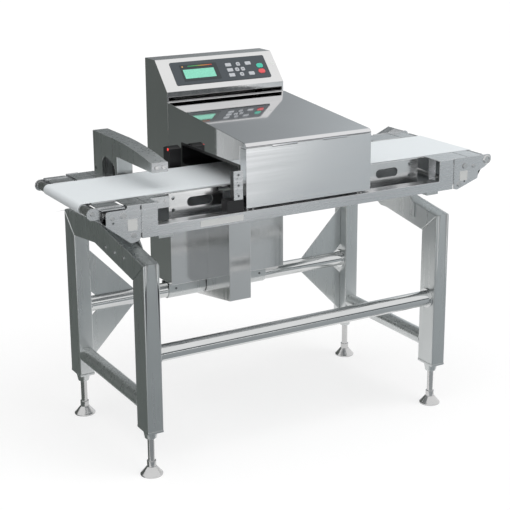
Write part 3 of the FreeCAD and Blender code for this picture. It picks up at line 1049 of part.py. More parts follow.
def arm():
    """The arm over the belt: a folded housing on a column behind the belt, with a bolted tip."""
    x_low, x_high = "arm_left_x", "arm_left_x + arm_wide"
    base_z, wall, past = "rail_low_z", "arm_sheet", "cut_past"
    outline = [("arm_back_y", base_z), ("arm_back_y", "arm_back_z", "sheet"),
               ("arm_bend_y", "arm_back_z", "arm_bend_r"), ("arm_tip_y", "arm_tip_z"),
               ("arm_tip_y", "arm_under_z"), ("arm_column_front_y", "arm_under_z"),
               ("arm_column_front_y", base_z)]
    inner = [(f"arm_back_y - {wall}", f"{base_z} - {past}"), (f"arm_back_y - {wall}",
                                                              f"arm_back_z - {wall}"),
             ("arm_bend_y", f"arm_back_z - {wall}", f"arm_bend_r - {wall}"),
             (f"arm_tip_y + {wall}", f"arm_tip_z - {wall}"),
             (f"arm_tip_y + {wall}", f"arm_under_z + {wall}"),
             (f"arm_column_front_y + {wall}", f"arm_under_z + {wall}"),
             (f"arm_column_front_y + {wall}", f"{base_z} - {past}")]
    shell = plate("yz", x_low, x_high, outline)
    hollow = plate("yz", f"{x_low} + {wall}", f"{x_high} - {wall}", inner)
    arch = plate("yz", f"{x_low} - {past}", f"{x_low} + {wall} + {past}", [
        ("arch_back_y", f"{base_z} - {past}"), ("arch_back_y", "arch_top_z", "arch_round"),
        ("arch_front_y", "arch_top_z - arch_step", "lip_r * 2"), ("arch_front_y", f"{base_z} - {past}")])
    keep("arm_housing", cut(shell, hollow, arch))
    keep("arm_end_plate", plate("xz", "arm_tip_y - arm_plate", "arm_tip_y", rectangle(
        x_low, x_high, "arm_under_z", "arm_tip_z")))
    keep("arm_clamp_post", rod("z", "arm_left_x + arm_wide / 2", "arm_column_front_y + arm_post_in",
                               "rail_low_z",
                               "arm_post_r", "arm_post_high"))


# ---- fasteners

def fasteners():
    """Screw and bolt heads on their seats, and the front cover's hinge pin."""
    heads = [rod("x", "head_left_x", "hinge_y", "hinge_z", "hinge_pin_r", "head_right_x - head_left_x")]
    spots = [("-end_roller_x + edge_cover_left_in / 2", "deck_z - 28", "screw_r", "both"),
             ("-end_roller_x + edge_cover_left_in * 0.84", "deck_z - 24", "large_screw_r", "both"),
             ("-return_roller_x", "return_roller_z", "idler_shaft_r + cover_gap", "both"),
             ("end_roller_x - 51", "deck_z - 30", "screw_r", "front"),
             ("end_roller_x - 86", "deck_z - 26", "large_screw_r", "front"),
             ("return_roller_x", "return_roller_z", "idler_shaft_r + cover_gap", "front")]
    for x, z, radius, where in spots:
        heads.append(hexagon("y", x, "-rail_face_y - screw_head", z, radius, "screw_head"))
        if where == "both":
            heads.append(hexagon("y", x, "rail_face_y", z, radius, "screw_head"))
    for sign in sides.values():
        outside = "stand_span / 2 + tube_wide / 2"
        x_face = outside if sign == "1" else f"-({outside}) - screw_head"
        for step in (-1, 0, 1):
            heads.append(hexagon("x", x_face, f"support_bolt_y + {step} * support_bolt_pitch",
                                 "support_bolt_z",
                                 "small_screw_r", "screw_head"))
    middle_z = "(cabinet_bottom_z + cabinet_top_z) / 2"
    for x in ("head_left_x + 2 * rear_cover_lap", "cabinet_right_x - 2 * rear_cover_lap"):
        for z in ("cabinet_bottom_z + 2 * rear_cover_lap", middle_z, "cabinet_top_z - 2 * rear_cover_lap"):
            heads.append(hexagon("y", x, "cabinet_back_y + cabinet_sheet", z, "small_screw_r",
                                 "screw_head"))
    for share in ("0.28", "0.72"):
        heads.append(hexagon("y", f"arm_left_x + {share} * arm_wide", "arm_tip_y - arm_plate - screw_head",
                             "(arm_under_z + arm_tip_z) / 2", "screw_r", "screw_head"))
    keep("fasteners", *heads)


for side in sides:
    leg_frame(side)
stretchers()
for depth, leg_y in (("front", "front_leg_y"), ("rear", "rear_leg_y")):
    for side, sign in sides.items():
        foot(f"{depth}_{side}_foot", sign, leg_y)
conveyor_supports()
rails()
end_plates()
slider_bed("left_slider_bed", "-1", "left_bed_side_x", "left_bed_head_x", "left_slot_x", "left_hole_x")
slider_bed("right_slider_bed", "1", "right_bed_side_x", "right_bed_head_x", "right_slot_x", "right_hole_x")
edge_covers()
bed_brackets()
takeup()
rollers()
nose_bearings()
conveyor_belt()
drive()
head()
pedestal()
cabinet()
panel()
tube_saddles()
photo_sensors()
arm()
fasteners()

doc.recompute()
for item in doc.Objects:
    if "Invalid" in item.State or "Error" in item.State:
        raise RuntimeError(f"{item.Label} did not compute: {item.State}")
for label, node in nodes.items():
    if node.Shape.isNull() or not node.Shape.isValid() or not node.Shape.Solids:
        raise RuntimeError(f"{label} has no valid shape")
os.makedirs("parts", exist_ok=True)
for label, node in nodes.items():
    node.Shape.exportStep(f"parts/{label}.step")
print(len(nodes), "sub-parts written")
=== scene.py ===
import bpy
import bmesh
import json
from math import radians, sin, cos, hypot
from mathutils import Matrix, Vector

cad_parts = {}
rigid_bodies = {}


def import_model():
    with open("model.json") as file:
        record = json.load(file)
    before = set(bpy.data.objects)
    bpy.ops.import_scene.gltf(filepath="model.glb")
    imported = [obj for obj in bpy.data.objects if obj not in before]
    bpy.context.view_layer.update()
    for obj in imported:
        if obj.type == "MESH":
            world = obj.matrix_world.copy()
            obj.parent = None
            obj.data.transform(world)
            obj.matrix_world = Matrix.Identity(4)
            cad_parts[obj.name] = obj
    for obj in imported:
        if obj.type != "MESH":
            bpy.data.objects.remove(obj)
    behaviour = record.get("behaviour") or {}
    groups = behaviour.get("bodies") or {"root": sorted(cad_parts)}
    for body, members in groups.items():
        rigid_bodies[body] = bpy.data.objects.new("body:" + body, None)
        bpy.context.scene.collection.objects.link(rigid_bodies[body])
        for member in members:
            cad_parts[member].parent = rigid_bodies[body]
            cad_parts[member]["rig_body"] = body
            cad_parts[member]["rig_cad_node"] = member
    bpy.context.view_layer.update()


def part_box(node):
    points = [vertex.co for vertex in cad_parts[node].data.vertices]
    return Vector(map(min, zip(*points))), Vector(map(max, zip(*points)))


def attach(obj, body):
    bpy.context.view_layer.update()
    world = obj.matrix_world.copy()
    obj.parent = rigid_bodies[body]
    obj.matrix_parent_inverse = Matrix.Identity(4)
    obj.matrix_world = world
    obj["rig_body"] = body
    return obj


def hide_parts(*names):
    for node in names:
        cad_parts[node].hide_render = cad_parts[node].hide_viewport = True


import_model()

beltLine = -0.11175     # y of the belt's middle; every y below is counted from it
mm = 0.001


def spot(x, y, z):
    return Vector((x * mm, beltLine + y * mm, z * mm))


# materials

def newMaterial(name, color, metallic, rough):
    mat = bpy.data.materials.new(name)
    mat.use_nodes = True
    shader = mat.node_tree.nodes["Principled BSDF"]
    shader.inputs["Base Color"].default_value = (*color, 1)
    shader.inputs["Metallic"].default_value = metallic
    shader.inputs["Roughness"].default_value = rough
    return mat, mat.node_tree.nodes, mat.node_tree.links, shader


def grain(nodes, links, stretch, scale, detail=4.0):
    # noise in metres; a small number stretches it along that axis
    coords = nodes.new("ShaderNodeTexCoord")
    mapping = nodes.new("ShaderNodeMapping")
    mapping.inputs["Scale"].default_value = stretch
    noise = nodes.new("ShaderNodeTexNoise")
    noise.inputs["Scale"].default_value = scale
    noise.inputs["Detail"].default_value = detail
    links.new(coords.outputs["Object"], mapping.inputs["Vector"])
    links.new(mapping.outputs["Vector"], noise.inputs["Vector"])
    return noise.outputs["Fac"]


def ramp(nodes, links, source, stops):
    node = nodes.new("ShaderNodeValToRGB")
    while len(node.color_ramp.elements) < len(stops):
        node.color_ramp.elements.new(0.5)
    for element, (pos, color) in zip(node.color_ramp.elements, stops):
        element.position = pos
        element.color = (*color, 1)
    links.new(source, node.inputs["Fac"])
    return node.outputs["Color"]


def spread(nodes, links, source, low, high):
    node = nodes.new("ShaderNodeMapRange")
    node.inputs["From Min"].default_value = 0.3
    node.inputs["From Max"].default_value = 0.7
    node.inputs["To Min"].default_value = low
    node.inputs["To Max"].default_value = high
    links.new(source, node.inputs["Value"])
    return node.outputs["Result"]


def relief(nodes, links, shader, height, strength, distance=0.001):
    node = nodes.new("ShaderNodeBump")
    node.inputs["Strength"].default_value = strength
    node.inputs["Distance"].default_value = distance
    links.new(height, node.inputs["Height"])
    links.new(node.outputs["Normal"], shader.inputs["Normal"])


def steel(name, color, rough, brush, bump=0.02, vary=0.06, tone=0.05):
    mat, nodes, links, shader = newMaterial(name, color, 1.0, rough)
    lines = grain(nodes, links, brush, 90.0)
    cloud = grain(nodes, links, (1, 1, 1), 5.0, 2.0)
    low = tuple(c * (1 - tone) for c in color)
    high = tuple(min(1.0, c * (1 + tone)) for c in color)
    links.new(ramp(nodes, links, cloud, [(0.3, low), (0.7, high)]), shader.inputs["Base Color"])
    links.new(spread(nodes, links, lines, rough - vary, rough + vary), shader.inputs["Roughness"])
    relief(nodes, links, shader, lines, bump)
    return mat


def plastic(name, color, rough, size=400.0, bump=0.05, tone=0.08):
    mat, nodes, links, shader = newMaterial(name, color, 0.0, rough)
    speck = grain(nodes, links, (1, 1, 1), size, 3.0)
    low = tuple(c * (1 - tone) for c in color)
    high = tuple(min(1.0, c * (1 + tone)) for c in color)
    links.new(ramp(nodes, links, speck, [(0.35, low), (0.65, high)]), shader.inputs["Base Color"])
    relief(nodes, links, shader, speck, bump, 0.0005)
    return mat


def threadSteel(name, color, rough, pitch):
    # rolled thread shown as fine rings up the screw, with painted shade in the grooves
    mat, nodes, links, shader = newMaterial(name, color, 1.0, rough)
    coords = nodes.new("ShaderNodeTexCoord")
    wave = nodes.new("ShaderNodeTexWave")
    wave.bands_direction = "Z"
    wave.inputs["Scale"].default_value = 0.314 / pitch
    links.new(coords.outputs["Object"], wave.inputs["Vector"])
    # painted shade: the ring colour is darker in the thread's grooves, where the bump is low
    dark = tuple(c * 0.55 for c in color)
    rings = ramp(nodes, links, wave.outputs["Fac"], [(0.2, dark), (0.8, color)])
    links.new(rings, shader.inputs["Base Color"])
    relief(nodes, links, shader, wave.outputs["Fac"], 0.6)
    return mat


def glow(name, color, strength):
    mat, nodes, links, shader = newMaterial(name, color, 0.0, 0.3)
    cloud = grain(nodes, links, (1, 1, 1), 300.0, 2.0)
    deep = tuple(c * 0.8 for c in color)
    tint = ramp(nodes, links, cloud, [(0.3, deep), (0.7, color)])
    links.new(tint, shader.inputs["Base Color"])
    links.new(tint, shader.inputs["Emission Color"])
    shader.inputs["Emission Strength"].default_value = strength
    return mat


satinTube = steel("satinTube", (0.60, 0.62, 0.62), 0.30, (1, 1, 0.04), 0.015, 0.05)
satinSheet = steel("satinSheet", (0.66, 0.67, 0.68), 0.27, (0.04, 1, 1), 0.012, 0.05)
bedSheet = steel("bedSheet", (0.74, 0.74, 0.74), 0.17, (0.04, 1, 1), 0.008, 0.04)
mirrorSteel = steel("mirrorSteel", (0.72, 0.72, 0.73), 0.05, (0.04, 1, 1), 0.002, 0.015, 0.02)
cabinetSteel = steel("cabinetSteel", (0.74, 0.74, 0.74), 0.13, (1, 1, 0.03), 0.006, 0.04, 0.03)
coverSteel = steel("coverSteel", (0.72, 0.73, 0.74), 0.20, (0.02, 1, 1), 0.008, 0.04, 0.02)
polishedTube = steel("polishedTube", (0.66, 0.67, 0.67), 0.10, (0.05, 1, 1), 0.004, 0.03, 0.03)
turnedSteel = steel("turnedSteel", (0.60, 0.60, 0.60), 0.20, (1, 1, 1), 0.01)
darkSteel = steel("darkSteel", (0.16, 0.165, 0.17), 0.3, (1, 1, 1), 0.02)
footThread = threadSteel("footThread", (0.42, 0.43, 0.43), 0.3, 0.0025)
boltThread = threadSteel("boltThread", (0.55, 0.55, 0.54), 0.25, 0.001)
beltWhite = plastic("beltWhite", (0.78, 0.82, 0.84), 0.42, 900.0, 0.03, 0.015)
blackPlastic = plastic("blackPlastic", (0.012, 0.012, 0.013), 0.35)
linerPlastic = plastic("linerPlastic", (0.012, 0.012, 0.013), 0.25)
driveRubber = plastic("driveRubber", (0.02, 0.02, 0.02), 0.7)
motorPaint = plastic("motorPaint", (0.16, 0.17, 0.18), 0.4)
panelSlate = plastic("panelSlate", (0.045, 0.056, 0.066), 0.32, 700.0, 0.02, 0.05)
bezelBlack = plastic("bezelBlack", (0.022, 0.03, 0.034), 0.3, 700.0, 0.02, 0.05)
displayGreen = glow("displayGreen", (0.20, 0.56, 0.42), 0.35)
keyGrey = plastic("keyGrey", (0.50, 0.52, 0.55), 0.4, 700.0, 0.02, 0.04)
keyDark = plastic("keyDark", (0.10, 0.11, 0.12), 0.4, 700.0, 0.02, 0.04)
keyGreen = plastic("keyGreen", (0.06, 0.52, 0.38), 0.35, 700.0, 0.02, 0.05)
keyRed = plastic("keyRed", (0.72, 0.09, 0.10), 0.35, 700.0, 0.02, 0.05)
coilResin = plastic("coilResin", (0.25, 0.13, 0.05), 0.4)
boardGreen = plastic("boardGreen", (0.03, 0.16, 0.07), 0.4)
platePale = plastic("platePale", (0.70, 0.71, 0.70), 0.4, 500.0, 0.02, 0.03)
lampAmber = glow("lampAmber", (0.75, 0.38, 0.10), 0.25)
eyeRed = glow("eyeRed", (0.85, 0.05, 0.04), 1.2)

nodeLooks = {
    satinTube: ["left_leg_frame", "right_leg_frame", "conveyor_supports", "tube_saddles", "arm_housing"],
    polishedTube: ["stretchers"],
    satinSheet: ["front_rail", "rear_rail", "front_left_end_plate", "rear_left_end_plate",
                 "front_right_end_plate", "rear_right_end_plate", "edge_covers", "bed_brackets",
                 "takeup_brackets", "drive_guard", "arm_end_plate", "cabinet_rear_cover"],
    bedSheet: ["left_slider_bed", "right_slider_bed"],
    mirrorSteel: ["head_shell"],
    cabinetSteel: ["cabinet_shell", "head_pedestal"],
    coverSteel: ["head_front_cover"],
    turnedSteel: ["front_left_foot", "front_right_foot", "rear_left_foot", "rear_right_foot", "tail_shaft",
                  "tail_roller", "nose_roller", "return_roller_left", "return_roller_right", "return_shafts",
                  "nose_bearings", "nose_pulley", "motor_pulley", "fasteners"],
    beltWhite: ["conveyor_belt"],
    driveRubber: ["drive_belt"],
    motorPaint: ["gear_motor"],
    linerPlastic: ["tunnel_liner"],
    coilResin: ["search_coils"],
    boardGreen: ["electronics"],
    panelSlate: ["panel_plate"],
    displayGreen: ["display_window"],
    blackPlastic: ["front_photo_sensor", "rear_photo_sensor", "arm_clamp_post"],
    keyGrey: ["key_menu", "key_set", "key_enter", "key_up", "key_left", "key_right", "key_down",
              "key_test", "key_reset"],
    keyGreen: ["key_start"],
    keyRed: ["key_stop"],
}
for mat, names in nodeLooks.items():
    for name in names:
        node = bpy.data.objects[name]
        node.data.materials.clear()
        node.data.materials.append(mat)
print("materials on the CAD nodes")


# hand tools

def ready(*chosen):
    # object mode with only these objects chosen, the last one active
    if bpy.context.object and bpy.context.object.mode != "OBJECT":
        bpy.ops.object.mode_set(mode="OBJECT")
    bpy.ops.object.select_all(action="DESELECT")
    for obj in chosen:
        obj.select_set(True)
        bpy.context.view_layer.objects.active = obj


def openMesh(obj, kind="FACE"):
    ready(obj)
    bpy.ops.object.mode_set(mode="EDIT")
    bpy.ops.mesh.select_mode(type=kind)
    bpy.ops.mesh.select_all(action="SELECT")


def pickFaces(obj, test):
    # chooses the faces whose middle passes the test
    bpy.ops.mesh.select_all(action="DESELECT")
    mesh = bmesh.from_edit_mesh(obj.data)
    for face in mesh.faces:
        face.select_set(test(face.calc_center_median()))
    bmesh.update_edit_mesh(obj.data)


def push(x, y, z):
    bpy.ops.mesh.extrude_region_move(TRANSFORM_OT_translate={"value": (x, y, z)})


def soften(obj, width, segments=2, angle=35):
    ready(obj)
    bevel = obj.modifiers.new("edges", "BEVEL")
    bevel.width = width
    bevel.segments = segments
    bevel.limit_method = "ANGLE"
    bevel.angle_limit = radians(angle)
    bevel.use_clamp_overlap = False
    bpy.ops.object.modifier_apply(modifier=bevel.name)
    bpy.ops.object.shade_smooth_by_angle(angle=radians(32))
    # the wide faces set the normals, so that flat sheet mirrors flat
    weighted = obj.modifiers.new("flats", "WEIGHTED_NORMAL")
    weighted.mode = "FACE_AREA"
    weighted.weight = 100
    weighted.keep_sharp = True
    bpy.ops.object.modifier_apply(modifier=weighted.name)


def fitted(obj, name, body, mat, nodes=()):
    ready(obj)
    bpy.ops.object.transform_apply(location=True, rotation=True, scale=True)
    obj.name = name
    if mat:
        obj.data.materials.clear()
        obj.data.materials.append(mat)
    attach(obj, body)
    if nodes:
        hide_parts(*nodes)
    return obj


def painted(obj, mat, test):
    # a second finish on the faces whose middle passes the test
    obj.data.materials.append(mat)
    place = len(obj.data.materials) - 1
    for face in obj.data.polygons:
        if test(face.center):
            face.material_index = place


def dressed(node, width, body="frame", segments=2, angle=35):
    # a copy of the solid with its loose triangles joined and its edges softened
    source = bpy.data.objects[node]
    ready(source)
    bpy.ops.object.duplicate()
    obj = bpy.context.object
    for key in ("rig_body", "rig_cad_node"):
        del obj[key]
    bpy.ops.object.parent_clear(type="CLEAR_KEEP_TRANSFORM")
    bpy.ops.object.transform_apply(location=True, rotation=True, scale=True)
    openMesh(obj)
    bpy.ops.mesh.remove_doubles(threshold=0.00002)
    bpy.ops.mesh.normals_make_consistent(inside=False)
    bpy.ops.mesh.dissolve_limited(angle_limit=radians(0.8))
    ready(obj)
    soften(obj, width, segments, angle)
    return fitted(obj, node + "Dressed", body, None, nodes=[node])


faceTurn = {"front": (radians(90), 0, 0), "left": (0, radians(-90), 0), "up": (0, 0, 0)}


def stand(obj, place, facing):
    ready(obj)
    obj.rotation_euler = faceTurn[facing]
    obj.location = place
    bpy.ops.object.transform_apply(location=True, rotation=True, scale=True)


def scatter(model, places, facing):
    # the model takes the first place, copies with their own mesh the rest, joined as one piece
    copies = [model]
    for _ in places[1:]:
        ready(model)
        bpy.ops.object.duplicate()
        copies.append(bpy.context.object)
    for obj, place in zip(copies, places):
        stand(obj, place, facing)
    ready(*copies)
    if len(copies) > 1:
        bpy.ops.object.join()
    return bpy.context.object


def boltHead(radius, height, sides, socket, washer=0.0):
    # stands on the origin and faces up
    ready()
    bpy.ops.mesh.primitive_cylinder_add(vertices=sides, radius=radius, depth=height,
                                        location=(0, 0, height / 2 + washer))
    head = bpy.context.object
    openMesh(head)
    pickFaces(head, lambda c: c.z > height * 0.99 + washer)
    bpy.ops.mesh.inset(thickness=radius * (1 - socket))
    push(0, 0, -height * 0.55 if sides > 6 else height * 0.08)
    ready(head)
    soften(head, radius * 0.07)
    if washer:
        ready()
        bpy.ops.mesh.primitive_cylinder_add(vertices=32, radius=radius * 1.45, depth=washer,
                                            location=(0, 0, washer / 2))
        ring = bpy.context.object
        openMesh(ring)
        pickFaces(ring, lambda c: c.z > washer * 0.99)
        bpy.ops.mesh.inset(thickness=radius * 0.3)
        ready(ring)
        soften(ring, washer * 0.25)
        ready(ring, head)
        bpy.ops.object.join()
    return bpy.context.object


def bareLabel(place, length, width, thick, corner, facing):
    # a blank plate with a fine raised edge, its back on the given place
    ready()
    bpy.ops.mesh.primitive_cube_add(size=1, location=(0, 0, thick / 2), scale=(length, width, thick))
    plate = bpy.context.object
    bpy.ops.object.transform_apply(location=True, rotation=True, scale=True)
    openMesh(plate, "EDGE")
    bpy.ops.mesh.select_all(action="DESELECT")
    mesh = bmesh.from_edit_mesh(plate.data)
    for edge in mesh.edges:
        low, high = (v.co for v in edge.verts)
        edge.select_set(abs(low.z - high.z) > thick / 2)
    bmesh.update_edit_mesh(plate.data)
    bpy.ops.mesh.bevel(offset=corner, segments=4)
    bpy.ops.mesh.select_mode(type="FACE")
    pickFaces(plate, lambda c: c.z > thick * 0.99)
    bpy.ops.mesh.inset(thickness=corner * 0.5)
    push(0, 0, -thick * 0.3)
    ready(plate)
    soften(plate, thick * 0.15)
    stand(plate, place, facing)
    return plate


# sheet, tube and cast pieces taken from the solids

edgeSizes = {"left_leg_frame": 1.6, "right_leg_frame": 1.6, "conveyor_supports": 1.2, "front_rail": 0.9,
             "rear_rail": 0.9, "front_left_end_plate": 0.6, "rear_left_end_plate": 0.6,
             "front_right_end_plate": 0.6, "rear_right_end_plate": 0.6, "left_slider_bed": 0.4,
             "right_slider_bed": 0.4, "edge_covers": 0.5, "bed_brackets": 0.5, "stretchers": 0.6,
             "drive_guard": 0.8, "arm_housing": 1.6, "arm_end_plate": 0.6, "cabinet_shell": 1.0,
             "cabinet_rear_cover": 0.5, "head_shell": 0.9, "head_pedestal": 1.0, "tube_saddles": 0.8,
             "gear_motor": 0.8, "rear_photo_sensor": 1.2, "arm_clamp_post": 0.8, "panel_plate": 0.4,
             "conveyor_belt": 0.3, "nose_bearings": 0.5}
for node, size in edgeSizes.items():
    dressed(node, size * mm)
dressed("head_front_cover", 0.7 * mm, "front_cover")
dressed("takeup_brackets", 0.5 * mm, "takeup")
print("solids dressed")

footSizes = {"thread": (52, 178), "threadRadius": 7.0, "edge": 0.5}
for corner in ("front_left", "front_right", "rear_left", "rear_right"):
    node = corner + "_foot"
    foot = dressed(node, footSizes["edge"] * mm, node)
    low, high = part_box(node)
    middle = (low + high) / 2
    bottom, top = (z * mm for z in footSizes["thread"])
    painted(foot, footThread, lambda c: bottom < c.z < top
            and hypot(c.x - middle.x, c.y - middle.y) < footSizes["threadRadius"] * mm)
print("feet dressed")

# light barrier: steel plate on the front, black housing and foot behind it
sensorPlate = {"edge": 0.6, "x": -225.5, "front": -210, "back": -206.8, "foot": 787,
               "holes": (798, 828, 858), "radius": 3.4, "height": 1.2}
sensor = dressed("front_photo_sensor", sensorPlate["edge"] * mm)
painted(sensor, satinSheet, lambda c: c.y < spot(0, sensorPlate["back"], 0).y
        and c.z > sensorPlate["foot"] * mm)
holes = scatter(boltHead(sensorPlate["radius"] * mm, sensorPlate["height"] * mm, 24, 0.55),
                [spot(sensorPlate["x"], sensorPlate["front"], z) for z in sensorPlate["holes"]], "front")
fitted(holes, "sensorScrews", "frame", darkSteel)
eyePlace = {"x": -259, "y": 165, "z": 865, "radius": 4, "height": 3}
eyeLamp = scatter(boltHead(eyePlace["radius"] * mm, eyePlace["height"] * mm, 24, 0.7),
                  [spot(eyePlace["x"], eyePlace["y"], eyePlace["z"])], "left")
fitted(eyeLamp, "rearSensorLamp", "frame", eyeRed)
print("light barrier")

# bolts on the conveyor's front
plateFront = -218
smallBolts = {"radius": 4.2, "height": 3.4, "places": [(-612, 788), (-553, 735), (550, 734), (608, 786)]}
fitted(scatter(boltHead(smallBolts["radius"] * mm, smallBolts["height"] * mm, 32, 0.5),
               [spot(x, plateFront, z) for x, z in smallBolts["places"]], "front"),
       "endPlateScrews", "frame", turnedSteel)
bigBolts = {"radius": 6.2, "height": 2.9, "washer": 0.9, "places": [(-579, 791)]}
fitted(scatter(boltHead(bigBolts["radius"] * mm, bigBolts["height"] * mm, 6, 0.75, bigBolts["washer"] * mm),
               [spot(x, plateFront, z) for x, z in bigBolts["places"]], "front"),
       "endPlateBolt", "frame", turnedSteel)
# thin dark discs on the end plates' holes: painted shade inside the holes
plateHoles = {"radius": 3.2, "places": [(-611, 775), (572, 742)]}
fitted(scatter(boltHead(plateHoles["radius"] * mm, 0.5 * mm, 24, 0.6),
               [spot(x, plateFront, z) for x, z in plateHoles["places"]], "front"),
       "endPlateHoleShades", "frame", darkSteel)
knob = {"base": 8.5, "deep": 1.6, "tip": 4.5, "height": 3.8, "light": 5.2, "edge": 0.5, "place": (571, 790)}
ready()
bpy.ops.mesh.primitive_cylinder_add(vertices=40, radius=knob["base"] * mm,
                                    depth=knob["deep"] * mm, location=(0, 0, knob["deep"] / 2 * mm))
grip = bpy.context.object
openMesh(grip)
pickFaces(grip, lambda c: c.z > knob["deep"] * 0.94 * mm)
bpy.ops.mesh.inset(thickness=(knob["base"] - knob["tip"]) * mm)
push(0, 0, (knob["height"] - knob["deep"]) * mm)
ready(grip)
soften(grip, knob["edge"] * mm)
stand(grip, spot(knob["place"][0], plateFront, knob["place"][1]), "front")
fitted(grip, "coverKnob", "frame", darkSteel)
painted(grip, turnedSteel, lambda c: hypot(c.x - knob["place"][0] * mm, c.z - knob["place"][1] * mm)
        < knob["light"] * mm)

bracketBolts = {"front": -160, "radius": 5, "height": 3.5, "places": [(-450, 802), (-429, 799)]}
fitted(scatter(boltHead(bracketBolts["radius"] * mm, bracketBolts["height"] * mm, 6, 0.75, 0.8 * mm),
               [spot(x, bracketBolts["front"], z) for x, z in bracketBolts["places"]], "front"),
       "bracketBolts", "frame", turnedSteel)

# tightening screws in the take-up channels
tighten = {"from": -634, "to": -604, "y": 203, "z": 795, "radius": 3, "nut": 6.5, "nutDeep": 5}
for side, name in ((-1, "frontTightener"), (1, "rearTightener")):
    ready()
    bpy.ops.mesh.primitive_cylinder_add(vertices=24, radius=tighten["radius"] * mm,
                                        depth=(tighten["to"] - tighten["from"]) * mm)
    screw = bpy.context.object
    openMesh(screw)
    pickFaces(screw, lambda c: abs(c.z) > (tighten["to"] - tighten["from"]) * mm * 0.49)
    bpy.ops.mesh.inset(thickness=0.8 * mm)
    ready(screw)
    soften(screw, 0.5 * mm)
    nut = boltHead(tighten["nut"] * mm, tighten["nutDeep"] * mm, 6, 0.6)
    ready(nut)
    halfLength = (tighten["to"] - tighten["from"]) / 2
    bpy.ops.transform.translate(value=(0, 0, halfLength * mm - tighten["nutDeep"] * mm))
    ready(nut, screw)
    bpy.ops.object.join()
    stand(screw, spot((tighten["from"] + tighten["to"]) / 2, side * tighten["y"], tighten["z"]), "left")
    fitted(screw, name, "takeup", boltThread)
print("conveyor hardware")

# spacers between the sill and the cover, saddle screws and the screw of the arm
skirtSpacers = {"radius": 3.2, "height": 4.8, "y": -203, "z": 752, "places": (-194, -176, 181, 193)}
fitted(scatter(boltHead(skirtSpacers["radius"] * mm, skirtSpacers["height"] * mm, 24, 0.6),
               [spot(x, skirtSpacers["y"], skirtSpacers["z"]) for x in skirtSpacers["places"]], "up"),
       "skirtSpacers", "frame", turnedSteel)
saddleLow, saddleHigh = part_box("tube_saddles")
saddleScrews = {"radius": 3.6, "height": 2.5, "z": 373}
fitted(scatter(boltHead(saddleScrews["radius"] * mm, saddleScrews["height"] * mm, 24, 0.5),
               [Vector((x, saddleLow.y, saddleScrews["z"] * mm)) for x in
                (saddleLow.x + 25 * mm, saddleHigh.x - 25 * mm)], "front"),
       "saddleScrews", "frame", darkSteel)
armScrew = {"x": -437, "y": 302, "z": 805, "radius": 5, "height": 3}
fitted(scatter(boltHead(armScrew["radius"] * mm, armScrew["height"] * mm, 32, 0.5),
               [spot(armScrew["x"], armScrew["y"], armScrew["z"])], "left"),
       "armScrew", "frame", darkSteel)

# blank plates where the real one carries its marks
labels = {"rail": (-283, -218, 737, 136, 18), "leftEnd": (-555, -218, 764, 28, 32),
          "rightEnd": (568, -218, 760, 30, 30)}
for name, (x, y, z, length, width) in labels.items():
    fitted(bareLabel(spot(x, y, z), length * mm, width * mm, 0.8 * mm, 1.6 * mm, "front"),
           name + "BlankPlate", "frame", platePale)
cabinetDisc = {"x": 207, "s": 72, "radius": 8}
print("blank plates and small screws")


# control panel, drawn flat with s up the slope and then laid on it

panelFoot, panelSlope, plateTop = spot(0, 285, 1016), radians(47), 2.0 * mm
slopeUp = Vector((0, cos(panelSlope), sin(panelSlope)))
slopeOut = Vector((0, -sin(panelSlope), cos(panelSlope)))


def layOnPanel(obj):
    ready(obj)
    obj.rotation_euler = (panelSlope, 0, 0)
    obj.location = panelFoot
    bpy.ops.object.transform_apply(location=True, rotation=True, scale=True)


def keySpan(node):
    # middle of the key along x and up the slope, and the height of its top over the slope
    corners = [v.co - panelFoot for v in bpy.data.objects[node].data.vertices]
    ups = [c.dot(slopeUp) for c in corners]
    xs = [c.x for c in corners]
    return (min(xs) + max(xs)) / 2, (min(ups) + max(ups)) / 2, max(c.dot(slopeOut) for c in corners)


bezel = {"x": (-126, 5), "s": (31, 93), "thick": 0.6}
screen = {"x": (-119, -10), "s": (41, 75), "thick": 1.0}
for name, part, base, mat, slotName, nodes in (
        ("displayBezel", bezel, plateTop, bezelBlack, "panel_slate", []),
        ("displayGlass", screen, plateTop - 0.2 * mm, displayGreen, "display_glass", ["display_window"])):
    (x0, x1), (s0, s1) = part["x"], part["s"]
    plate = bareLabel(Vector(((x0 + x1) / 2 * mm, (s0 + s1) / 2 * mm, base)), (x1 - x0) * mm, (s1 - s0) * mm,
                      part["thick"] * mm, 1.5 * mm, "up")
    layOnPanel(plate)
    fitted(plate, name, "frame", mat, nodes)

signal = {"x": (-98, -12), "s": 86.7, "wide": 3, "thick": 0.5, "cells": 11}
ready()
length = (signal["x"][1] - signal["x"][0]) * mm
middleX = (signal["x"][0] + signal["x"][1]) / 2 * mm
middleZ = plateTop + (bezel["thick"] + signal["thick"] / 2) * mm
bpy.ops.mesh.primitive_cube_add(size=1, location=(middleX, signal["s"] * mm, middleZ),
                                scale=(length, signal["wide"] * mm, signal["thick"] * mm))
strip = bpy.context.object
bpy.ops.object.transform_apply(location=True, rotation=True, scale=True)
openMesh(strip)
for cell in range(1, signal["cells"]):
    bpy.ops.mesh.select_all(action="SELECT")
    bpy.ops.mesh.bisect(plane_co=(signal["x"][0] * mm + length * cell / signal["cells"], 0, 0),
                        plane_no=(1, 0, 0))
pickFaces(strip, lambda c: c.z > plateTop + (bezel["thick"] + signal["thick"] * 0.99) * mm)
bpy.ops.mesh.inset(thickness=0.5 * mm, use_individual=True)
push(0, 0, 0.25 * mm)
ready(strip)
soften(strip, 0.1 * mm, 1)
layOnPanel(strip)
signalColors, nodes, links, shader = newMaterial("signalColors", (0.5, 0.5, 0.1), 0.0, 0.3)
coords = nodes.new("ShaderNodeTexCoord")
split = nodes.new("ShaderNodeSeparateXYZ")
along = nodes.new("ShaderNodeMapRange")
along.inputs["From Min"].default_value = signal["x"][0] * mm
along.inputs["From Max"].default_value = signal["x"][1] * mm
links.new(coords.outputs["Object"], split.inputs["Vector"])
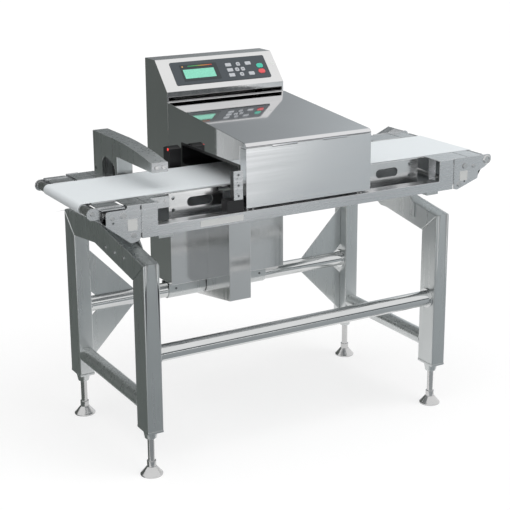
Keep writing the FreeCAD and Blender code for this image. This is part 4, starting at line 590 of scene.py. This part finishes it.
links.new(split.outputs["X"], along.inputs["Value"])
links.new(ramp(nodes, links, along.outputs["Result"], [(0, (0.03, 0.35, 0.14)), (0.35, (0.10, 0.38, 0.10)),
                                                      (0.6, (0.62, 0.30, 0.05)), (1, (0.62, 0.05, 0.05))]),
          shader.inputs["Base Color"])
fitted(strip, "signalStrip", "frame", signalColors)
pilot = boltHead(2.2 * mm, 1.2 * mm, 24, 0.6)
stand(pilot, Vector((-117 * mm, 86 * mm, plateTop + bezel["thick"] * mm)), "up")
layOnPanel(pilot)
fitted(pilot, "pilotLamp", "frame", lampAmber)

disc = boltHead(cabinetDisc["radius"] * mm, 0.8 * mm, 40, 0.85)
stand(disc, Vector((cabinetDisc["x"] * mm, cabinetDisc["s"] * mm, 0)), "up")
layOnPanel(disc)
fitted(disc, "cabinetBlankDisc", "frame", platePale)

for key in ("menu", "set", "enter", "up", "left", "right", "down", "test", "reset", "start", "stop"):
    dressed("key_" + key, 0.7 * mm, "key_" + key, 3)
arrow = {"radius": 3.4, "thick": 0.25, "turns": {"up": 0, "left": 90, "down": 180, "right": 270}}
for key, degrees in arrow["turns"].items():
    x, s, top = keySpan("key_" + key)
    ready()
    bpy.ops.mesh.primitive_cylinder_add(vertices=3, radius=arrow["radius"] * mm, depth=arrow["thick"] * mm,
                                        location=(0, 0, 0))
    mark = bpy.context.object
    openMesh(mark)
    pickFaces(mark, lambda c: c.z > arrow["thick"] * mm * 0.49)
    bpy.ops.mesh.inset(thickness=0.3 * mm)
    ready(mark)
    soften(mark, 0.08 * mm, 1)
    mark.rotation_euler = (0, 0, radians(degrees))
    mark.location = (x, s, top + arrow["thick"] / 2 * mm)
    ready(mark)
    bpy.ops.object.transform_apply(location=True, rotation=True, scale=True)
    layOnPanel(mark)
    fitted(mark, key + "Arrow", "key_" + key, keyDark)
print("control panel")


# floor and world

def sightFactor(nodes, links):
    # 1 for rays of the camera, of gloss and of glass, 0 for the rays that light the object
    path = nodes.new("ShaderNodeLightPath")
    first = nodes.new("ShaderNodeMath")
    second = nodes.new("ShaderNodeMath")
    second.use_clamp = True
    links.new(path.outputs["Is Camera Ray"], first.inputs[0])
    links.new(path.outputs["Is Glossy Ray"], first.inputs[1])
    links.new(first.outputs[0], second.inputs[0])
    links.new(path.outputs["Is Transmission Ray"], second.inputs[1])
    return second.outputs[0]


studio = {"floorSize": 60, "floorGlow": 0.62, "floorColor": 0.40, "worldLight": 0.55,
          "keySun": 1.15, "topSun": 0.75}

bpy.ops.object.select_all(action="DESELECT")
bpy.ops.mesh.primitive_plane_add(size=studio["floorSize"], location=(0, 0, -0.0005))
floor = bpy.context.object
floor.name = "floor"
mat = bpy.data.materials.new("floorPaper")
mat.use_nodes = True
nodes, links = mat.node_tree.nodes, mat.node_tree.links
nodes.remove(nodes["Principled BSDF"])
paper = nodes.new("ShaderNodeBsdfDiffuse")
paper.inputs["Color"].default_value = (studio["floorColor"],) * 3 + (1,)
shine = nodes.new("ShaderNodeEmission")
level = nodes.new("ShaderNodeMath")
level.operation = "MULTIPLY"
level.inputs[1].default_value = studio["floorGlow"]
links.new(sightFactor(nodes, links), level.inputs[0])
links.new(level.outputs[0], shine.inputs["Strength"])
both = nodes.new("ShaderNodeAddShader")
links.new(paper.outputs[0], both.inputs[0])
links.new(shine.outputs[0], both.inputs[1])
links.new(both.outputs[0], nodes["Material Output"].inputs["Surface"])
floor.data.materials.append(mat)

world = bpy.data.worlds.new("studio")
bpy.context.scene.world = world
world.use_nodes = True
nodes, links = world.node_tree.nodes, world.node_tree.links
level = nodes.new("ShaderNodeMapRange")
level.inputs["To Min"].default_value = studio["worldLight"]
level.inputs["To Max"].default_value = 1.0
links.new(sightFactor(nodes, links), level.inputs["Value"])
links.new(level.outputs["Result"], nodes["Background"].inputs["Strength"])
nodes["Background"].inputs["Color"].default_value = (1, 1, 1, 1)


def sun(name, strength, azimuth, elevation, angle):
    # azimuth: 0 shines along +Y, 90 along -X
    bpy.ops.object.light_add(type="SUN", location=(0, 0, 4))
    lamp = bpy.context.object
    lamp.name = name
    lamp.data.energy = strength
    lamp.data.angle = radians(angle)
    a, e = radians(azimuth), radians(elevation)
    back = Vector((sin(a) * cos(e), -cos(a) * cos(e), sin(e)))
    lamp.rotation_euler = (-back).to_track_quat("-Z", "Y").to_euler()
    lamp.visible_glossy = False
    return lamp


sun("keySun", studio["keySun"], 35, 48, 50)
sun("topSun", studio["topSun"], -60, 70, 60)


# reflector cards, seen only in the gloss of the steel

def cardMaterial(name, axis, stops, low, high):
    mat = bpy.data.materials.new(name)
    mat.use_nodes = True
    nodes, links = mat.node_tree.nodes, mat.node_tree.links
    nodes.remove(nodes["Principled BSDF"])
    coords = nodes.new("ShaderNodeTexCoord")
    split = nodes.new("ShaderNodeSeparateXYZ")
    scale = nodes.new("ShaderNodeMapRange")
    scale.inputs["From Min"].default_value = low
    scale.inputs["From Max"].default_value = high
    shine = nodes.new("ShaderNodeEmission")
    links.new(coords.outputs["Object"], split.inputs["Vector"])
    links.new(split.outputs["XYZ".index(axis)], scale.inputs["Value"])
    links.new(ramp(nodes, links, scale.outputs["Result"], stops), shine.inputs["Color"])
    links.new(shine.outputs[0], nodes["Material Output"].inputs["Surface"])
    return mat


def card(name, corners, mat):
    bpy.ops.object.select_all(action="DESELECT")
    bpy.ops.mesh.primitive_plane_add(size=1)
    obj = bpy.context.object
    obj.name = name
    for vertex, corner in zip(obj.data.vertices, (corners[0], corners[1], corners[3], corners[2])):
        vertex.co = corner
    obj.data.materials.append(mat)
    obj.visible_camera = False
    obj.visible_diffuse = False
    obj.visible_shadow = False
    obj.visible_transmission = False
    return obj


def gray(level, tint=(1, 1, 1)):
    return tuple(level * t for t in tint)


cool = (0.94, 1.0, 1.03)
green = (0.93, 1.03, 0.98)
card("leftFloorCard", [(-7, -0.3, 0.001), (-0.53, -0.3, 0.001), (-0.53, 6, 0.001), (-7, 6, 0.001)],
     cardMaterial("leftFloorCard", "Y", [(0, gray(0.16, green)), (1, gray(0.12, green))], 0, 5))
card("backCard", [(-7, 6, 0), (9, 6, 0), (9, 6, 7), (-7, 6, 7)],
     cardMaterial("backCard", "X", [(0, gray(0.12, green)), (0.40, gray(0.15, green)),
                                    (0.62, gray(0.25, cool)),
                                    (0.78, gray(0.40, cool)), (1.0, gray(0.75, cool))], -3, 6))
card("frontFloorCard", [(-1.5, -7, 0.001), (6, -7, 0.001), (6, -0.34, 0.001), (-1.5, -0.34, 0.001)],
     cardMaterial("frontFloorCard", "X", [(0, gray(0.36, cool)), (0.4, gray(0.46, cool)),
                                          (1, gray(0.62, cool))],
                  -0.5, 3))
card("windowCard", [(0.86, -2.97, 0.002), (0.9, -6.5, 0.002), (4.3, -6.5, 0.002), (1.28, -2.86, 0.002)],
     cardMaterial("windowCard", "X", [(0, gray(1.35)), (1, gray(1.35))], 0, 1))
card("horizonCard", [(-1.5, -7, 0.0), (7, -7, 0.0), (7, -7, 2.2), (-1.5, -7, 2.2)],
     cardMaterial("horizonCard", "Z", [(0, gray(0.10, cool)), (0.7, gray(0.14, cool)),
                                       (1, gray(0.8, cool))], 0, 2.2))


# camera

viewpoint = {"eye": (-1890.55, -3198.64, 1672.02), "turns": (-29.879, 15.647, -0.332),
             "lens": 89.18, "rise": -0.059, "far": 80}
eye = spot(*viewpoint["eye"])
yaw, tilt, roll = (radians(angle) for angle in viewpoint["turns"])
ahead = Vector((-sin(yaw) * cos(tilt), cos(yaw) * cos(tilt), -sin(tilt)))
right = Vector((cos(yaw), sin(yaw), 0))
up = right.cross(ahead)
right, up = right * cos(roll) + up * sin(roll), up * cos(roll) - right * sin(roll)
bpy.ops.object.camera_add()
camera = bpy.context.object
camera.name = "camera"
camera.data.lens = viewpoint["lens"]
camera.data.shift_y = viewpoint["rise"]
camera.data.clip_end = viewpoint["far"]
turn = Matrix((right, up, -ahead)).transposed().to_4x4()
camera.matrix_world = Matrix.Translation(eye) @ turn
bpy.context.scene.camera = camera
bpy.context.scene.view_settings.view_transform = "Standard"
print("floor, lights, cards and camera set")
